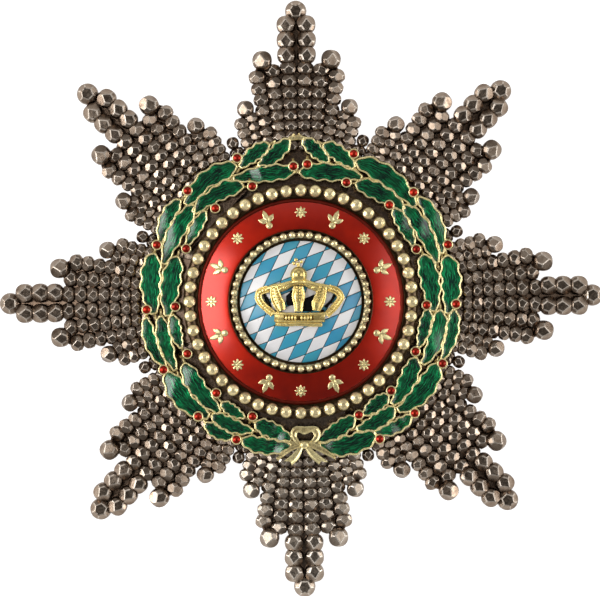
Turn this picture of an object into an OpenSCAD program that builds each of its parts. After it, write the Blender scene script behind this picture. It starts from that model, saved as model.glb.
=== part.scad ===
// Breast star of an order, lying face up on the end balls of its eight rays.
// The origin is the middle of its box, on the surface it lies on.
// +Z points out of the face and +Y along the top ray. All sizes are in millimetres.

/* [Rays] */
// Distance from the middle to a ray's end ball, measured along the sloping ray
tip_reach = 42.3; // [41.5:0.1:43]
// Radius of the end ball of a ray
tip_ball_r = 1.5; // [1.4:0.02:1.6]
// Slope of the rays, which vaults the star
vault_deg = 8; // [7:0.5:9]
// Thickness of the plate that carries the strands of a ray
ray_plate_t = 0.8; // [0.6:0.1:1]

/* [Back] */
// Radius of the dished plate behind the rays
back_r = 22.4; // [21.5:0.1:22.6]
// Thickness of the dished plate
back_t = 0.7; // [0.5:0.1:0.8]
// Diameter of the fastening pin
pin_d = 1.1; // [0.9:0.1:1.3]
// Distance from the middle to the pin's hinge, and to its catch
pin_reach = 13.5; // [12:0.5:13.5]

/* [Medallion] */
// Radius of the gilt plate under the medallion
medal_r = 16.9; // [16.8:0.05:16.95]
// Beads in the outer ring, and in the inner ring
ring_beads = 48; // [44:1:50]
// Radius of an outer bead
outer_bead_r = 0.9; // [0.8:0.05:0.95]
// Radius of an inner bead
inner_bead_r = 0.56; // [0.45:0.01:0.58]
// Outer radius of the domed centre
centre_r = 8.85; // [8.6:0.05:8.9]
// Radius of the sphere that the domed centre is cut from
dome_r = 20; // [18:1:30]

/* [Wreath] */
// Width of the wire round each leaf
wire_w = 0.24; // [0.2:0.02:0.24]
// Height of the wreath's frame
wreath_h = 0.7; // [0.6:0.05:0.8]
// Radius of a berry's collet
collet_r = 0.76; // [0.7:0.02:0.8]

/* [Hidden] */

SILVER = "gray";
GILT = "goldenrod";

// Clearance between pieces that are set face to face
SEAT = 0.05;

// The rays were soldered by hand: each row is one ray, in the order of NODES.
// Columns: direction, and how far the ray stands out from its place
RAYS = [
  [90, -0.26],
  [135.1, 0.88],
  [179.9, 0.09],
  [225.4, 0],
  [269.8, -0.36],
  [314.9, -0.23],
  [359.8, 0.27],
  [405.2, -0.14]
];
AWAY = 1;

// Balls of half a ray. Columns: distance from the middle, sideways, height, radius
BALLS = [
  [40.1, 1.45, 0.5, 1.38],
  [37.7, 1.47, 0.5, 1.38],
  [35.45, 1.45, 0.5, 1.38],
  [35.0, 4.96, 0.55, 1.43],
  [28.0, 7.49, 0.36, 1.24]
];

// Strands of beads of half a ray, each from its outer to its inner bead. Beads shrink inwards by
// the same share each time, and so does the way from one to the next.
// Columns: outer distance, sideways and radius; the same for the inner bead; count; height
STRANDS = [
  [33.5, 1.24, 0.93, 22.5, 0.8, 0.7, 8, 0.3],
  [33.2, 3.6, 0.91, 22.5, 2.54, 0.72, 8, 0.2],
  [32.5, 5.8, 0.97, 21.9, 4.09, 0.74, 8, 0.1],
  [26.8, 6.6, 0.83, 21.6, 5.56, 0.7, 5, 0],
  [25.8, 8.05, 0.92, 21.9, 7, 0.78, 4, 0.05]
];

// Outline of half a ray's plate, from its root to its tip: distance and sideways
PLATE_HALF = [
  [15.6, 5.9], [22, 7.3], [23.4, 8], [27.6, 8.2], [28.6, 7.4], [27.4, 6.2], [28, 5.6],
  [32.8, 6.5], [34.7, 5.5], [34.7, 4.4], [33.6, 3.2], [34.2, 2], [40, 2], [42, 0.8]
];
PLATE_TOP = -0.1;

// Height of the rays' own plane at the middle of the star
HUB_Z = tip_ball_r + tip_reach * sin(vault_deg);
// How far the rays' box lies from the middle of the star
BOX_X = (RAYS[6][AWAY] - RAYS[2][AWAY]) / 2;
BOX_Y = (RAYS[0][AWAY] - RAYS[4][AWAY]) / 2;

// The dished back plate follows the undersides of the rays
PLATE_UNDER = ray_plate_t - PLATE_TOP;
BACK_GAP = 0.12;
BACK_FLAT_R = 15.5;
BACK_TOP = HUB_Z - (PLATE_UNDER + BACK_GAP) / cos(vault_deg);
BACK_FLAT_TOP = BACK_TOP - BACK_FLAT_R * tan(vault_deg);
BACK_RIM_TOP = BACK_TOP - back_r * tan(vault_deg);
// The plate's flat rim, which lies on the cloth: its inner radius and its underside
RIM_INNER_R = 20.6;
RIM_UNDER = BACK_RIM_TOP - back_t;

// Valley strands stand between two rays, soldered to the back plate.
// Columns: distance from the middle, radius
VALLEY_BEADS = [[24.75, 0.9], [23.45, 0.58], [22.45, 0.55], [21.5, 0.52]];
VALLEY_BAR = [20.4, 24.3];
VALLEY_BAR_W = 1.1;
VALLEY_BAR_Z = [-1.3, -0.2];

// The pin: height of its middle, and the feet and posts at its two ends
PIN_Z = 1.7;
FOOT = [5, 3.2, 0.5];
POST = [1.6, 1.9];

// The medallion sits a little below the middle of the star and a little turned
MEDAL_Y = -0.36;
MEDAL_TURN = -1;
// Levels of the medallion, from the surface that the star lies on
FLANGE_Z = 5.2;
FLANGE_TOP = 6;
BOSS_R = 14.3;
OUTER_RING_R = 16.2;
OUTER_BEAD_Z = 6.6;
RED_INNER_R = 10.33;
RED_OUTER_R = 15.17;
RED_EDGE_Z = 6.6;
RED_RISE = 0.75;
INNER_RING_R = 9.54;
INNER_BEAD_Z = 7;
DOME_EDGE_Z = 6.5;
DOME_TOP = DOME_EDGE_Z + dome_r - sqrt(dome_r * dome_r - centre_r * centre_r);

// The red ring's round top: half its width, and the radius of its arc
RED_HALF = (RED_OUTER_R - RED_INNER_R) / 2;
RED_ARC_R = (RED_HALF * RED_HALF + RED_RISE * RED_RISE) / (2 * RED_RISE);
RED_MID_R = (RED_OUTER_R + RED_INNER_R) / 2;
RED_TOP = RED_EDGE_Z + RED_RISE;

// Lozenges: the lattice's corner and its two sides, measured over the dome
LOZENGE_AT = [0.37, -3.85];
LOZENGE_A = [2.61, 1.03];
LOZENGE_B = [1.14, 2.48];
LOZENGE_GAP = 0.06;
LOZENGE_RIM = 0.15;
LOZENGE_LOW = 0.02;
LOZENGE_HIGH = 0.12;
LOZENGE_SPAN = 7;

// Ornaments of the red ring: their number, the radius they stand on and the size of a sprig
ORNAMENTS = 16;
ORNAMENT_R = 12.85;
ORNAMENT_Z = RED_TOP + SEAT;
ORNAMENT_H = 0.3;
SPRIG_SIZE = 1.35;

// Levels of the wreath
WREATH_Z = 5.35;
WREATH_TOP = WREATH_Z + wreath_h;
WREATH_FLOOR = 0.4;

// Leaves of the wreath. Angles run clockwise from the top, along a leaf's middle line.
// Columns: root angle, root radius, middle radius, tip angle, tip radius, width
LEAVES = [
  [-176.5, 20.7, 21.4, -156.5, 21.5, 2.25],
  [-176.5, 19.9, 19, -159, 18.6, 2.25],
  [-154.5, 21.6, 22.3, -141.5, 22.1, 1.75],
  [-160, 19.8, 20.4, -141.5, 20.6, 2],
  [-154.5, 18.5, 18.5, -141.5, 18.4, 1.65],
  [-141.5, 21.1, 21.9, -117.5, 21.6, 2.75],
  [-144, 19.7, 19.4, -117.5, 18.9, 2.45],
  [-116.5, 21.5, 22.3, -95.5, 22.3, 1.8],
  [-119, 20.5, 20.4, -95.5, 20.2, 2],
  [-111.5, 18.4, 18.5, -95.5, 18.5, 1.75],
  [-95, 21.1, 21.75, -71.5, 22.2, 2.7],
  [-96.5, 19.2, 18.9, -69.5, 18.9, 2.6],
  [-67.5, 21.8, 22.7, -49.5, 22.6, 1.9],
  [-75, 20.4, 20.55, -47.5, 20.6, 2.3],
  [-64.5, 18.3, 18.4, -46, 18.9, 1.65],
  [-50, 21.5, 22, -25, 21.5, 2.65],
  [-50.5, 19.9, 19.8, -26, 18.4, 2.4],
  [-24.5, 21.1, 22.25, -11, 23.1, 2],
  [-17.5, 20.45, 21.4, -3.6, 23.5, 2.1],
  [-29, 20.2, 19.1, -2.2, 18.8, 2.25],
  [11.5, 20.45, 21.75, 0.6, 23.55, 1.95],
  [22, 20.7, 21.9, 7.8, 22.9, 2.1],
  [26.5, 19.9, 19.1, -1, 18.6, 2.4],
  [50.5, 21.4, 21.9, 21, 21.7, 2.65],
  [48.5, 19.9, 19.4, 24.5, 18.7, 2.4],
  [71.5, 21.4, 22.55, 48, 22.6, 1.9],
  [74.5, 20.4, 20.4, 46.5, 20.3, 2.25],
  [64, 18.1, 18.45, 44.5, 18.9, 1.9],
  [95, 21.25, 21.8, 72, 22, 2.65],
  [94.5, 19.2, 18.85, 68.5, 18.85, 2.65],
  [112.5, 22, 22.2, 92.5, 22.1, 1.8],
  [117.5, 19.7, 20.2, 93, 20.1, 2.25],
  [111.5, 18.2, 18.2, 93, 18.4, 1.8],
  [138.5, 21, 21.75, 114, 21.5, 2.65],
  [138.5, 19.9, 19.1, 115.5, 18.4, 2.4],
  [151, 21.6, 22.6, 135.5, 22.8, 1.8],
  [156.5, 20, 20.45, 138, 20.3, 2.1],
  [151.5, 18.6, 18.35, 136.5, 18.5, 2],
  [173.5, 21, 21.8, 150, 21.8, 2.65],
  [173.5, 20.2, 19.2, 154.5, 18.3, 2.15]
];
LEAF_STEPS = 10;
LEAF_WIDEST = 0.52;
LOBES = 3.4;
LOBE_DEPTH = 0.085;
LEAF_END_HALF = 0.32;
ENAMEL_GAP = 0.06;

// Berries: angle clockwise from the top, radius
BERRIES = [
  [-155, 21.9], [-138.2, 22.15], [-116.4, 22.05], [-93, 22.2], [-68.5, 22.25], [-45.6, 22.8], [-23.9, 22.6],
  [-157.2, 17.9], [-137.3, 17.9], [-114.7, 17.95], [-92.3, 18.05], [-65.2, 18.15], [-42.5, 18.2],
  [-22.8, 18], [-3.1, 19.5],
  [150.1, 22.8], [134.4, 22.95], [113.6, 22.25], [90.9, 22.35], [68.8, 22.7], [45.9, 22.6], [19.7, 22.6],
  [152.8, 18.3], [134.6, 18.25], [113.5, 18], [91.6, 18.1], [65.6, 18.25], [42.5, 18.85], [21, 18.35],
  [2.7, 19.8]
];
BERRY_R = 0.58;
COLLET_H = 0.85;

// Low twigs that join each leaf and each berry to its neighbours: width, and reach from its end
TWIG_W = 0.44;
LEAF_TWIG = 0.9;
BERRY_TWIG = 1.2;
WREATH_MID_R = 20.4;

// Ties between the two branches, at the top and under the bow
TOP_TIE = [[-1.7, 23.1], [-1.7, 23.75], [-0.3, 23.95], [0.7, 23.7], [0.7, 23.1], [-0.3, 23.3]];
BOW_TIE = [[-1.9, -20], [2.9, -20], [2.9, -21.2], [-1.9, -21.2]];

// Outline of the ribbon bow: its loop, the hole in it, its four tails and its knot
BOW_H = 0.55;
BOW_LOOP = [[-0.78, -17.98], [2.25, -17.98], [2.83, -18.7], [2.76, -19.57], [2.25, -20.2], [1.1, -20.8],
  [-0.2, -20.8], [-0.92, -20.14], [-1.36, -19.4], [-1.36, -18.55]];
BOW_HOLE = [[-0.42, -18.77], [0.45, -19.1], [1.53, -18.77], [1.89, -19.28], [1.53, -20], [-0.2, -20],
  [-0.56, -19.42]];
BOW_TAILS = [
  [[0, -20.4], [-1.8, -21.1], [-3.53, -22.53], [-3.31, -22.9], [-1.65, -21.7], [0.3, -20.7]],
  [[0.1, -20.6], [-2.44, -22.96], [-1.58, -23.1], [-1.29, -23.6], [-0.35, -22.74], [0.45, -20.8]],
  [[0.45, -20.8], [1.31, -22.4], [2.62, -23.4], [2.9, -22.96], [3.99, -23.1], [2.54, -22], [0.9, -20.6]],
  [[0.9, -20.5], [1.53, -20.25], [3.27, -20.87], [4.93, -22.24], [5.07, -22.74], [2.83, -21.66], [0.8, -20.7]]
];
BOW_KNOT = [0.52, -20.6, 0];

// Outlines of the crown about its own axis
CROWN_X = -0.15;
CROWN_RIM = [[3.95, -1.85], [5.25, -0.78], [6.1, 0.23], [6.25, 0.85], [5.85, 1.5], [5, 1.95], [3.55, 2.25],
  [1.7, 2.6], [-0.1, 2.75], [-0.1, 1.85], [1.3, 1.95], [3.5, 1.45], [4.85, 1.15], [5.35, 0.75], [5.15, 0.2],
  [4.3, -0.8], [3.1, -1.6], [3, -1.85]];
CROWN_SIDE_ARCH = [[2.55, 0.95], [2.7, 1.75], [4.1, 1.4], [3.85, 0.1], [3.1, -1.2], [2.7, -1.85], [1.6, -1.85],
  [1.75, -0.1]];
CROWN_MIDDLE_ARCH = [[-0.6, 2], [0.6, 2], [0.85, 0.9], [0.75, -0.2], [0.55, -1.2], [0.6, -1.85],
  [-0.6, -1.85], [-0.55, -1.2], [-0.75, -0.2], [-0.85, 0.9]];
CROWN_BAND = [[-3.95, -1.75], [3.95, -1.75], [4.05, -2.3], [3.75, -2.9], [2.6, -3.2], [0, -3.4], [-2.6, -3.2],
  [-3.75, -2.9], [-4.05, -2.3]];
CROWN_CAP = [[-1.15, 2.35], [1.15, 2.35], [1.25, 2.75], [1, 3.4], [-1, 3.4], [-1.25, 2.75]];
CROWN_CROSS = [[-0.25, 4.4], [0.25, 4.4], [0.2, 5.4], [0.8, 5.3], [0.8, 5.9], [0.2, 5.8], [0.3, 6.2],
  [-0.3, 6.2], [-0.2, 5.8], [-0.8, 5.9], [-0.8, 5.3], [-0.2, 5.4]];
CROWN_MOULDINGS = [-2.15, -2.9];
CROWN_MOULDING = [7.4, 0.3];
ORB_Y = 3.9;
ORB_R = 1.15;
ORB_LIFT = 0.4;

// Levels of the crown, measured over the dome
CROWN_LIFT = 0.18;
CROWN_LOW = 0.75;
CROWN_HIGH = 1;

// Points along a smooth path and their mixing
function mixed(a, b, t) = a + (b - a) * t;
function clock(angle, r) = [r * sin(angle), r * cos(angle)];
function through(a, m, b, t) = a * (1 - t) * (1 - 2 * t) + 4 * m * t * (1 - t) + b * t * (2 * t - 1);
function unit(v) = v / norm(v);
function flipped(points) = [for (i = [len(points) - 1 : -1 : 0]) [points[i][0], -points[i][1]]];

// A leaf: its middle line, its half width along it, and its lobed outline
function leaf_at(leaf, t) = clock(mixed(leaf[0], leaf[3], t), through(leaf[1], leaf[2], leaf[4], t));
function leaf_way(leaf, t) = unit(leaf_at(leaf, t + 0.001) - leaf_at(leaf, t - 0.001));
function leaf_full(t) = t < LEAF_WIDEST
  ? 0.16 + 0.84 * sin(90 * t / LEAF_WIDEST)
  : sqrt(max(0, 1 - pow((t - LEAF_WIDEST) / (1 - LEAF_WIDEST), 2.6)));
function leaf_half(leaf, t, side, inset) =
  max(LEAF_END_HALF, leaf_full(t) * leaf[5] / 2 * (1 + LOBE_DEPTH * cos(360 * (LOBES * t + side * 0.45)))) - inset;
function leaf_point(leaf, step, side, inset) =
  let (
    spare = inset / norm(leaf_at(leaf, 1) - leaf_at(leaf, 0)),
    u = (1 - cos(180 * step / LEAF_STEPS)) / 2,
    t = mixed(spare, 1 - spare, u),
    way = leaf_way(leaf, t),
    out = (side == 0 ? 1 : -1) * leaf_half(leaf, u, side, inset)
  )
  leaf_at(leaf, t) + out * [-way[1], way[0]];
function leaf_outline(leaf, inset) = concat(
  [for (i = [0 : LEAF_STEPS]) leaf_point(leaf, i, 0, inset)],
  [for (i = [LEAF_STEPS : -1 : 0]) leaf_point(leaf, i, 1, inset)]
);

// Corners of the lozenge lattice, laid over the dome
function dome_point(i, j) =
  let (
    flat = LOZENGE_AT + i * LOZENGE_A + j * LOZENGE_B,
    s = norm(flat)
  )
  s < 0.01 ? flat : flat * (dome_r * sin(s / dome_r * 180 / PI) / s);
function shrunk(points, gap) =
  let (middle = (points[0] + points[1] + points[2] + points[3]) / 4)
  [for (p = points) p - unit(p - middle) * gap];

// Moves the star so that its box stands over the origin
module placed() {
  translate([-BOX_X, -BOX_Y, 0]) children();
}

module on_medallion() {
  placed() translate([0, MEDAL_Y, 0]) rotate([0, 0, MEDAL_TURN]) children();
}

// Lays a piece out along the slope of a ray
module along_ray(direction, away) {
  placed() rotate([0, 0, direction]) translate([away, 0, HUB_Z]) rotate([0, vault_deg, 0]) children();
}

module both_sides() {
  children();
  mirror([0, 1, 0]) children();
}

module strand(s) {
  last = s[6] - 1;
  share = pow(s[5] / s[2], 1 / last);
  for (i = [0 : last]) {
    t = (1 - pow(share, i)) / (1 - pow(share, last));
    translate([mixed(s[0], s[3], t), mixed(s[1], s[4], t), s[7]])
      rotate([0, 0, 90]) sphere(r = s[2] * pow(share, i), $fn = 24);
  }
}

module ray(index) {
  color(SILVER) along_ray(RAYS[index][0], RAYS[index][AWAY]) {
    translate([0, 0, PLATE_TOP - ray_plate_t])
      linear_extrude(ray_plate_t) polygon(concat(PLATE_HALF, flipped(PLATE_HALF)));
    translate([tip_reach, 0, 0]) sphere(r = tip_ball_r, $fn = 32);
    both_sides() {
      for (b = BALLS) translate([b[0], b[1], b[2]]) rotate([0, 0, 90]) sphere(r = b[3], $fn = 32);
      for (s = STRANDS) strand(s);
    }
  }
}

module back_plate() {
  color(SILVER) {
    placed() rotate_extrude($fn = 96) polygon([
      [0, BACK_FLAT_TOP - back_t], [BACK_FLAT_R, BACK_FLAT_TOP - back_t],
      [RIM_INNER_R, BACK_TOP - back_t - RIM_INNER_R * tan(vault_deg)],
      [RIM_INNER_R, RIM_UNDER], [back_r, RIM_UNDER], [back_r, BACK_RIM_TOP],
      [BACK_FLAT_R, BACK_FLAT_TOP], [0, BACK_FLAT_TOP]
    ]);
    for (i = [0 : 7]) {
      next = i < 7 ? RAYS[i + 1][0] : RAYS[0][0] + 360;
      along_ray((RAYS[i][0] + next) / 2, 0) {
        translate([VALLEY_BAR[0], -VALLEY_BAR_W / 2, VALLEY_BAR_Z[0]])
          cube([VALLEY_BAR[1] - VALLEY_BAR[0], VALLEY_BAR_W, VALLEY_BAR_Z[1] - VALLEY_BAR_Z[0]]);
        for (b = VALLEY_BEADS) translate([b[0], 0, -0.1]) sphere(r = b[1], $fn = 24);
      }
    }
  }
}

// The pin with its hinge and catch, in one plain piece
module brooch_pin() {
  foot_top = BACK_FLAT_TOP - back_t - SEAT;
  color(SILVER) placed() {
    translate([0, pin_reach, PIN_Z]) rotate([90, 0, 0]) cylinder(d = pin_d, h = 2 * pin_reach, $fn = 32);
    for (side = [-1, 1]) {
      translate([-FOOT[0] / 2, side * pin_reach - FOOT[1] / 2, foot_top - FOOT[2]]) cube(FOOT);
      translate([-POST[0] / 2, side * pin_reach - POST[1] / 2, PIN_Z - POST[1] / 2])
        cube([POST[0], POST[1], foot_top - FOOT[2] / 2 - PIN_Z + POST[1] / 2]);
    }
  }
}

module medallion_plate() {
  color(GILT) on_medallion() rotate_extrude($fn = 96) polygon([
    [0, BACK_FLAT_TOP + SEAT], [BOSS_R, BACK_FLAT_TOP + SEAT], [BOSS_R, FLANGE_Z],
    [medal_r, FLANGE_Z], [medal_r, FLANGE_TOP], [0, FLANGE_TOP]
  ]);
}

// A ring of beads on a strip, flat underneath
module bead_ring(r, bead_r, bead_z, strip_w, strip_h) {
  seat_z = FLANGE_TOP + SEAT;
  difference() {
    union() {
      translate([0, 0, seat_z]) rotate_extrude($fn = 96) translate([r - strip_w / 2, 0]) square([strip_w, strip_h]);
      for (i = [0 : ring_beads - 1])
        rotate([0, 0, 360 * i / ring_beads]) translate([r, 0, bead_z]) sphere(r = bead_r, $fn = 24);
    }
    translate([0, 0, seat_z - 2]) cylinder(r = medal_r + 1, h = 2);
  }
}

module outer_bead_ring() {
  color(GILT) on_medallion() bead_ring(OUTER_RING_R, outer_bead_r, OUTER_BEAD_Z, 1.1, 0.3);
}

module inner_bead_ring() {
  color(GILT) on_medallion() bead_ring(INNER_RING_R, inner_bead_r, INNER_BEAD_Z, 0.8, 0.9);
}

module red_enamel_ring() {
  seat_z = FLANGE_TOP + SEAT;
  color("darkred") on_medallion() rotate_extrude($fn = 96) intersection() {
    translate([RED_MID_R, RED_TOP - RED_ARC_R]) circle(r = RED_ARC_R, $fn = 96);
    translate([RED_INNER_R, seat_z]) square([2 * RED_HALF, RED_TOP - seat_z + 1]);
  }
}

// Flat ornaments: an eight-petalled flower and a sprig of three leaves with a berry
module flower() {
  polygon([for (a = [0 : 7.5 : 352.5]) (0.7 + 0.22 * cos(8 * a)) * [cos(a), sin(a)]]);
}

module small_leaf(length, width) {
  polygon([[0, 0], [width / 2, length * 0.4], [width * 0.4, length * 0.7], [0, length],
    [-width * 0.4, length * 0.7], [-width / 2, length * 0.4]]);
}

module sprig() {
  scale(SPRIG_SIZE) translate([0, -0.45]) {
    small_leaf(1.5, 0.62);
    for (side = [-1, 1]) rotate([0, 0, 52 * side]) small_leaf(1.15, 0.55);
    translate([0, -0.3]) circle(r = 0.36, $fn = 24);
  }
}

module ring_ornaments() {
  color(GILT) on_medallion() for (i = [0 : ORNAMENTS - 1])
    rotate([0, 0, 360 * i / ORNAMENTS]) translate([0, ORNAMENT_R, ORNAMENT_Z])
      linear_extrude(ORNAMENT_H) if (i % 2 == 0) flower(); else sprig();
}

// A sphere that follows the enamel dome at a given height above it
module over_dome(height) {
  translate([0, 0, DOME_TOP - dome_r]) sphere(r = dome_r + height, $fn = 160);
}

// A flat shape laid on the dome, between two heights above it
module on_dome(low, high) {
  difference() {
    intersection() {
      translate([0, 0, FLANGE_TOP]) linear_extrude(DOME_TOP + high - FLANGE_TOP + 1) children();
      over_dome(high);
    }
    over_dome(low);
  }
}

module centre_dome() {
  color("white") on_medallion() intersection() {
    translate([0, 0, FLANGE_TOP + SEAT]) cylinder(r = centre_r, h = DOME_TOP, $fn = 96);
    over_dome(0);
  }
}

module blue_lozenges() {
  color("steelblue") on_medallion() on_dome(LOZENGE_LOW, LOZENGE_HIGH) intersection() {
    circle(r = centre_r - LOZENGE_RIM, $fn = 96);
    union() for (i = [-LOZENGE_SPAN : LOZENGE_SPAN], j = [-LOZENGE_SPAN : LOZENGE_SPAN])
      if ((i + j) % 2 == 0 && norm(dome_point(i + 0.5, j + 0.5)) < centre_r)
        polygon(shrunk([dome_point(i, j), dome_point(i + 1, j), dome_point(i + 1, j + 1), dome_point(i, j + 1)],
          LOZENGE_GAP));
  }
}

// The crown in plan: its low openwork, and the arches and mouldings that stand out of it
module crown_side_arches() {
  polygon(CROWN_SIDE_ARCH);
  mirror([1, 0]) polygon(CROWN_SIDE_ARCH);
}

module crown_low_plan() {
  polygon(CROWN_RIM);
  mirror([1, 0]) polygon(CROWN_RIM);
  crown_side_arches();
  polygon(CROWN_MIDDLE_ARCH);
  polygon(CROWN_BAND);
  polygon(CROWN_CAP);
  polygon(CROWN_CROSS);
}

module crown_high_plan() {
  crown_side_arches();
  polygon(CROWN_MIDDLE_ARCH);
  for (y = CROWN_MOULDINGS) translate([-CROWN_MOULDING[0] / 2, y]) square(CROWN_MOULDING);
}

module crown() {
  color(GILT) on_medallion() {
    on_dome(CROWN_LIFT, CROWN_LOW) translate([CROWN_X, 0]) crown_low_plan();
    on_dome(CROWN_LOW - CROWN_LIFT, CROWN_HIGH) translate([CROWN_X, 0]) crown_high_plan();
    difference() {
      translate([CROWN_X, ORB_Y, DOME_TOP + ORB_LIFT]) sphere(r = ORB_R, $fn = 48);
      over_dome(CROWN_LIFT);
    }
  }
}

// Plans of the wreath: leaves drawn in from their edges, ties that close the ring, and twigs
module leaves_plan(inset) {
  for (leaf = LEAVES) polygon(leaf_outline(leaf, inset));
}

module ties_plan() {
  polygon(TOP_TIE);
  polygon(BOW_TIE);
}

module twig(from, way, reach) {
  translate(from) rotate(atan2(way[1], way[0])) translate([-TWIG_W, -TWIG_W / 2]) square([reach + TWIG_W, TWIG_W]);
}

module twigs_plan() {
  for (leaf = LEAVES) {
    twig(leaf_at(leaf, 0), -leaf_way(leaf, 0), LEAF_TWIG);
    twig(leaf_at(leaf, 1), leaf_way(leaf, 1), LEAF_TWIG);
  }
  for (b = BERRIES) twig(clock(b[0], b[1]), (b[1] < WREATH_MID_R ? 1 : -1) * clock(b[0], 1), BERRY_TWIG);
}

module berry_places() {
  for (b = BERRIES) translate(clock(b[0], b[1])) children();
}

// The frame: a floor under the leaves with its twigs, a wire round each leaf, and the collets
module wreath_frame() {
  color(GILT) on_medallion() translate([0, 0, WREATH_Z]) {
    linear_extrude(WREATH_FLOOR) {
      leaves_plan(0);
      ties_plan();
      twigs_plan();
    }
    translate([0, 0, WREATH_FLOOR]) linear_extrude(wreath_h - WREATH_FLOOR) difference() {
      union() {
        leaves_plan(0);
        ties_plan();
      }
      leaves_plan(wire_w);
    }
    berry_places() cylinder(r = collet_r, h = COLLET_H, $fn = 24);
  }
}

module leaf_enamel() {
  color("darkgreen") on_medallion() difference() {
    translate([0, 0, WREATH_Z + WREATH_FLOOR + SEAT]) linear_extrude(wreath_h - WREATH_FLOOR - SEAT)
      leaves_plan(wire_w + ENAMEL_GAP);
    translate([0, 0, WREATH_Z]) berry_places() cylinder(r = collet_r + SEAT, h = 2, $fn = 24);
  }
}

module berries() {
  color("firebrick") on_medallion() translate([0, 0, WREATH_Z + COLLET_H + SEAT]) difference() {
    berry_places() sphere(r = BERRY_R, $fn = 24);
    translate([0, 0, -1]) cylinder(r = 30, h = 1);
  }
}

module ribbon_bow() {
  color(GILT) on_medallion() translate([0, 0, WREATH_TOP + SEAT]) {
    linear_extrude(BOW_H) {
      difference() {
        polygon(BOW_LOOP);
        polygon(BOW_HOLE);
      }
      for (tail = BOW_TAILS) polygon(tail);
    }
    translate(BOW_KNOT) cylinder(r = 0.7, h = BOW_H + 0.3, $fn = 32);
  }
}

ray(0);  // ray_top
ray(1);  // ray_top_left
ray(2);  // ray_left
ray(3);  // ray_bottom_left
ray(4);  // ray_bottom
ray(5);  // ray_bottom_right
ray(6);  // ray_right
ray(7);  // ray_top_right
back_plate();
brooch_pin();
medallion_plate();
outer_bead_ring();
red_enamel_ring();
ring_ornaments();
inner_bead_ring();
centre_dome();
blue_lozenges();
crown();
wreath_frame();
leaf_enamel();
berries();
ribbon_bow();
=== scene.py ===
"""Looks of the breast star: faceted silver rays, a gilt and enamel medallion, its wreath, crown and bow.

Sizes are in millimetres, in the frame's axes, and become metres when a mesh is made.
"""
from itertools import combinations, product
from math import asin, cos, hypot, pi, radians, sin, sqrt, tan

import bmesh
import bpy
import numpy as np
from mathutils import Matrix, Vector


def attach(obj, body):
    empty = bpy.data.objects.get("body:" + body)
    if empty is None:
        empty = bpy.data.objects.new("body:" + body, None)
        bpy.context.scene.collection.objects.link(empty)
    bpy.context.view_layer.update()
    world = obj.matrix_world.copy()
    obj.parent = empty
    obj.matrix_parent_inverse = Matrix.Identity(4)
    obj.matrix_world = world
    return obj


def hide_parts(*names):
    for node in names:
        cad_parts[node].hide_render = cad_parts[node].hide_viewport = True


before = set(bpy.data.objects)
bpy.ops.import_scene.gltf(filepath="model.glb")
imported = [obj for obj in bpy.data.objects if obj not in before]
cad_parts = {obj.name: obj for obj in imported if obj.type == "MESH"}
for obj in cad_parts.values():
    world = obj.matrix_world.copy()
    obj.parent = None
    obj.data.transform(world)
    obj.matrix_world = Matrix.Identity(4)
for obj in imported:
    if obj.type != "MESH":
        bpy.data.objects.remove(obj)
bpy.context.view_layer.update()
MM = 0.001
RNG = np.random.default_rng(7)

# The star's construction, as the frame has it
TIP_REACH = 42.3
TIP_BALL_R = 1.5
VAULT = radians(8)
PLATE_TOP = -0.1
PLATE_T = 0.8
HUB_Z = TIP_BALL_R + TIP_REACH * sin(VAULT)
SLACK = {"ray_top_left": 0.5, "ray_left": 0.15}
RAYS = {
    "ray_top": (90, -0.26),
    "ray_top_left": (135.1, 0.88),
    "ray_left": (179.9, 0.09),
    "ray_bottom_left": (225.4, 0),
    "ray_bottom": (269.8, -0.36),
    "ray_bottom_right": (314.9, -0.23),
    "ray_right": (359.8, 0.27),
    "ray_top_right": (405.2, -0.14),
}
BOX_X = (RAYS["ray_right"][1] - RAYS["ray_left"][1]) / 2
BOX_Y = (RAYS["ray_top"][1] - RAYS["ray_bottom"][1]) / 2
MEDAL_Y = -0.36
MEDAL_TURN = radians(-1)


def turned(points, angle):
    """Points turned about the Z axis."""
    c, s = cos(angle), sin(angle)
    return np.asarray(points, float) @ np.array([[c, s, 0], [-s, c, 0], [0, 0, 1]])


def on_star(points):
    return np.asarray(points, float) - (BOX_X, BOX_Y, 0)


def on_medallion(points):
    return on_star(turned(points, MEDAL_TURN) + (0, MEDAL_Y, 0))


def on_ray(points, direction, away):
    """Points of a ray's own frame, laid out along its slope."""
    c, s = cos(VAULT), sin(VAULT)
    sloped = np.asarray(points, float) @ np.array([[c, 0, -s], [0, 1, 0], [s, 0, c]]) + (away, 0, HUB_Z)
    return on_star(turned(sloped, radians(direction)))


def shown(name, data):
    made = bpy.data.objects.new(name, data)
    bpy.context.scene.collection.objects.link(made)
    return made


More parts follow.
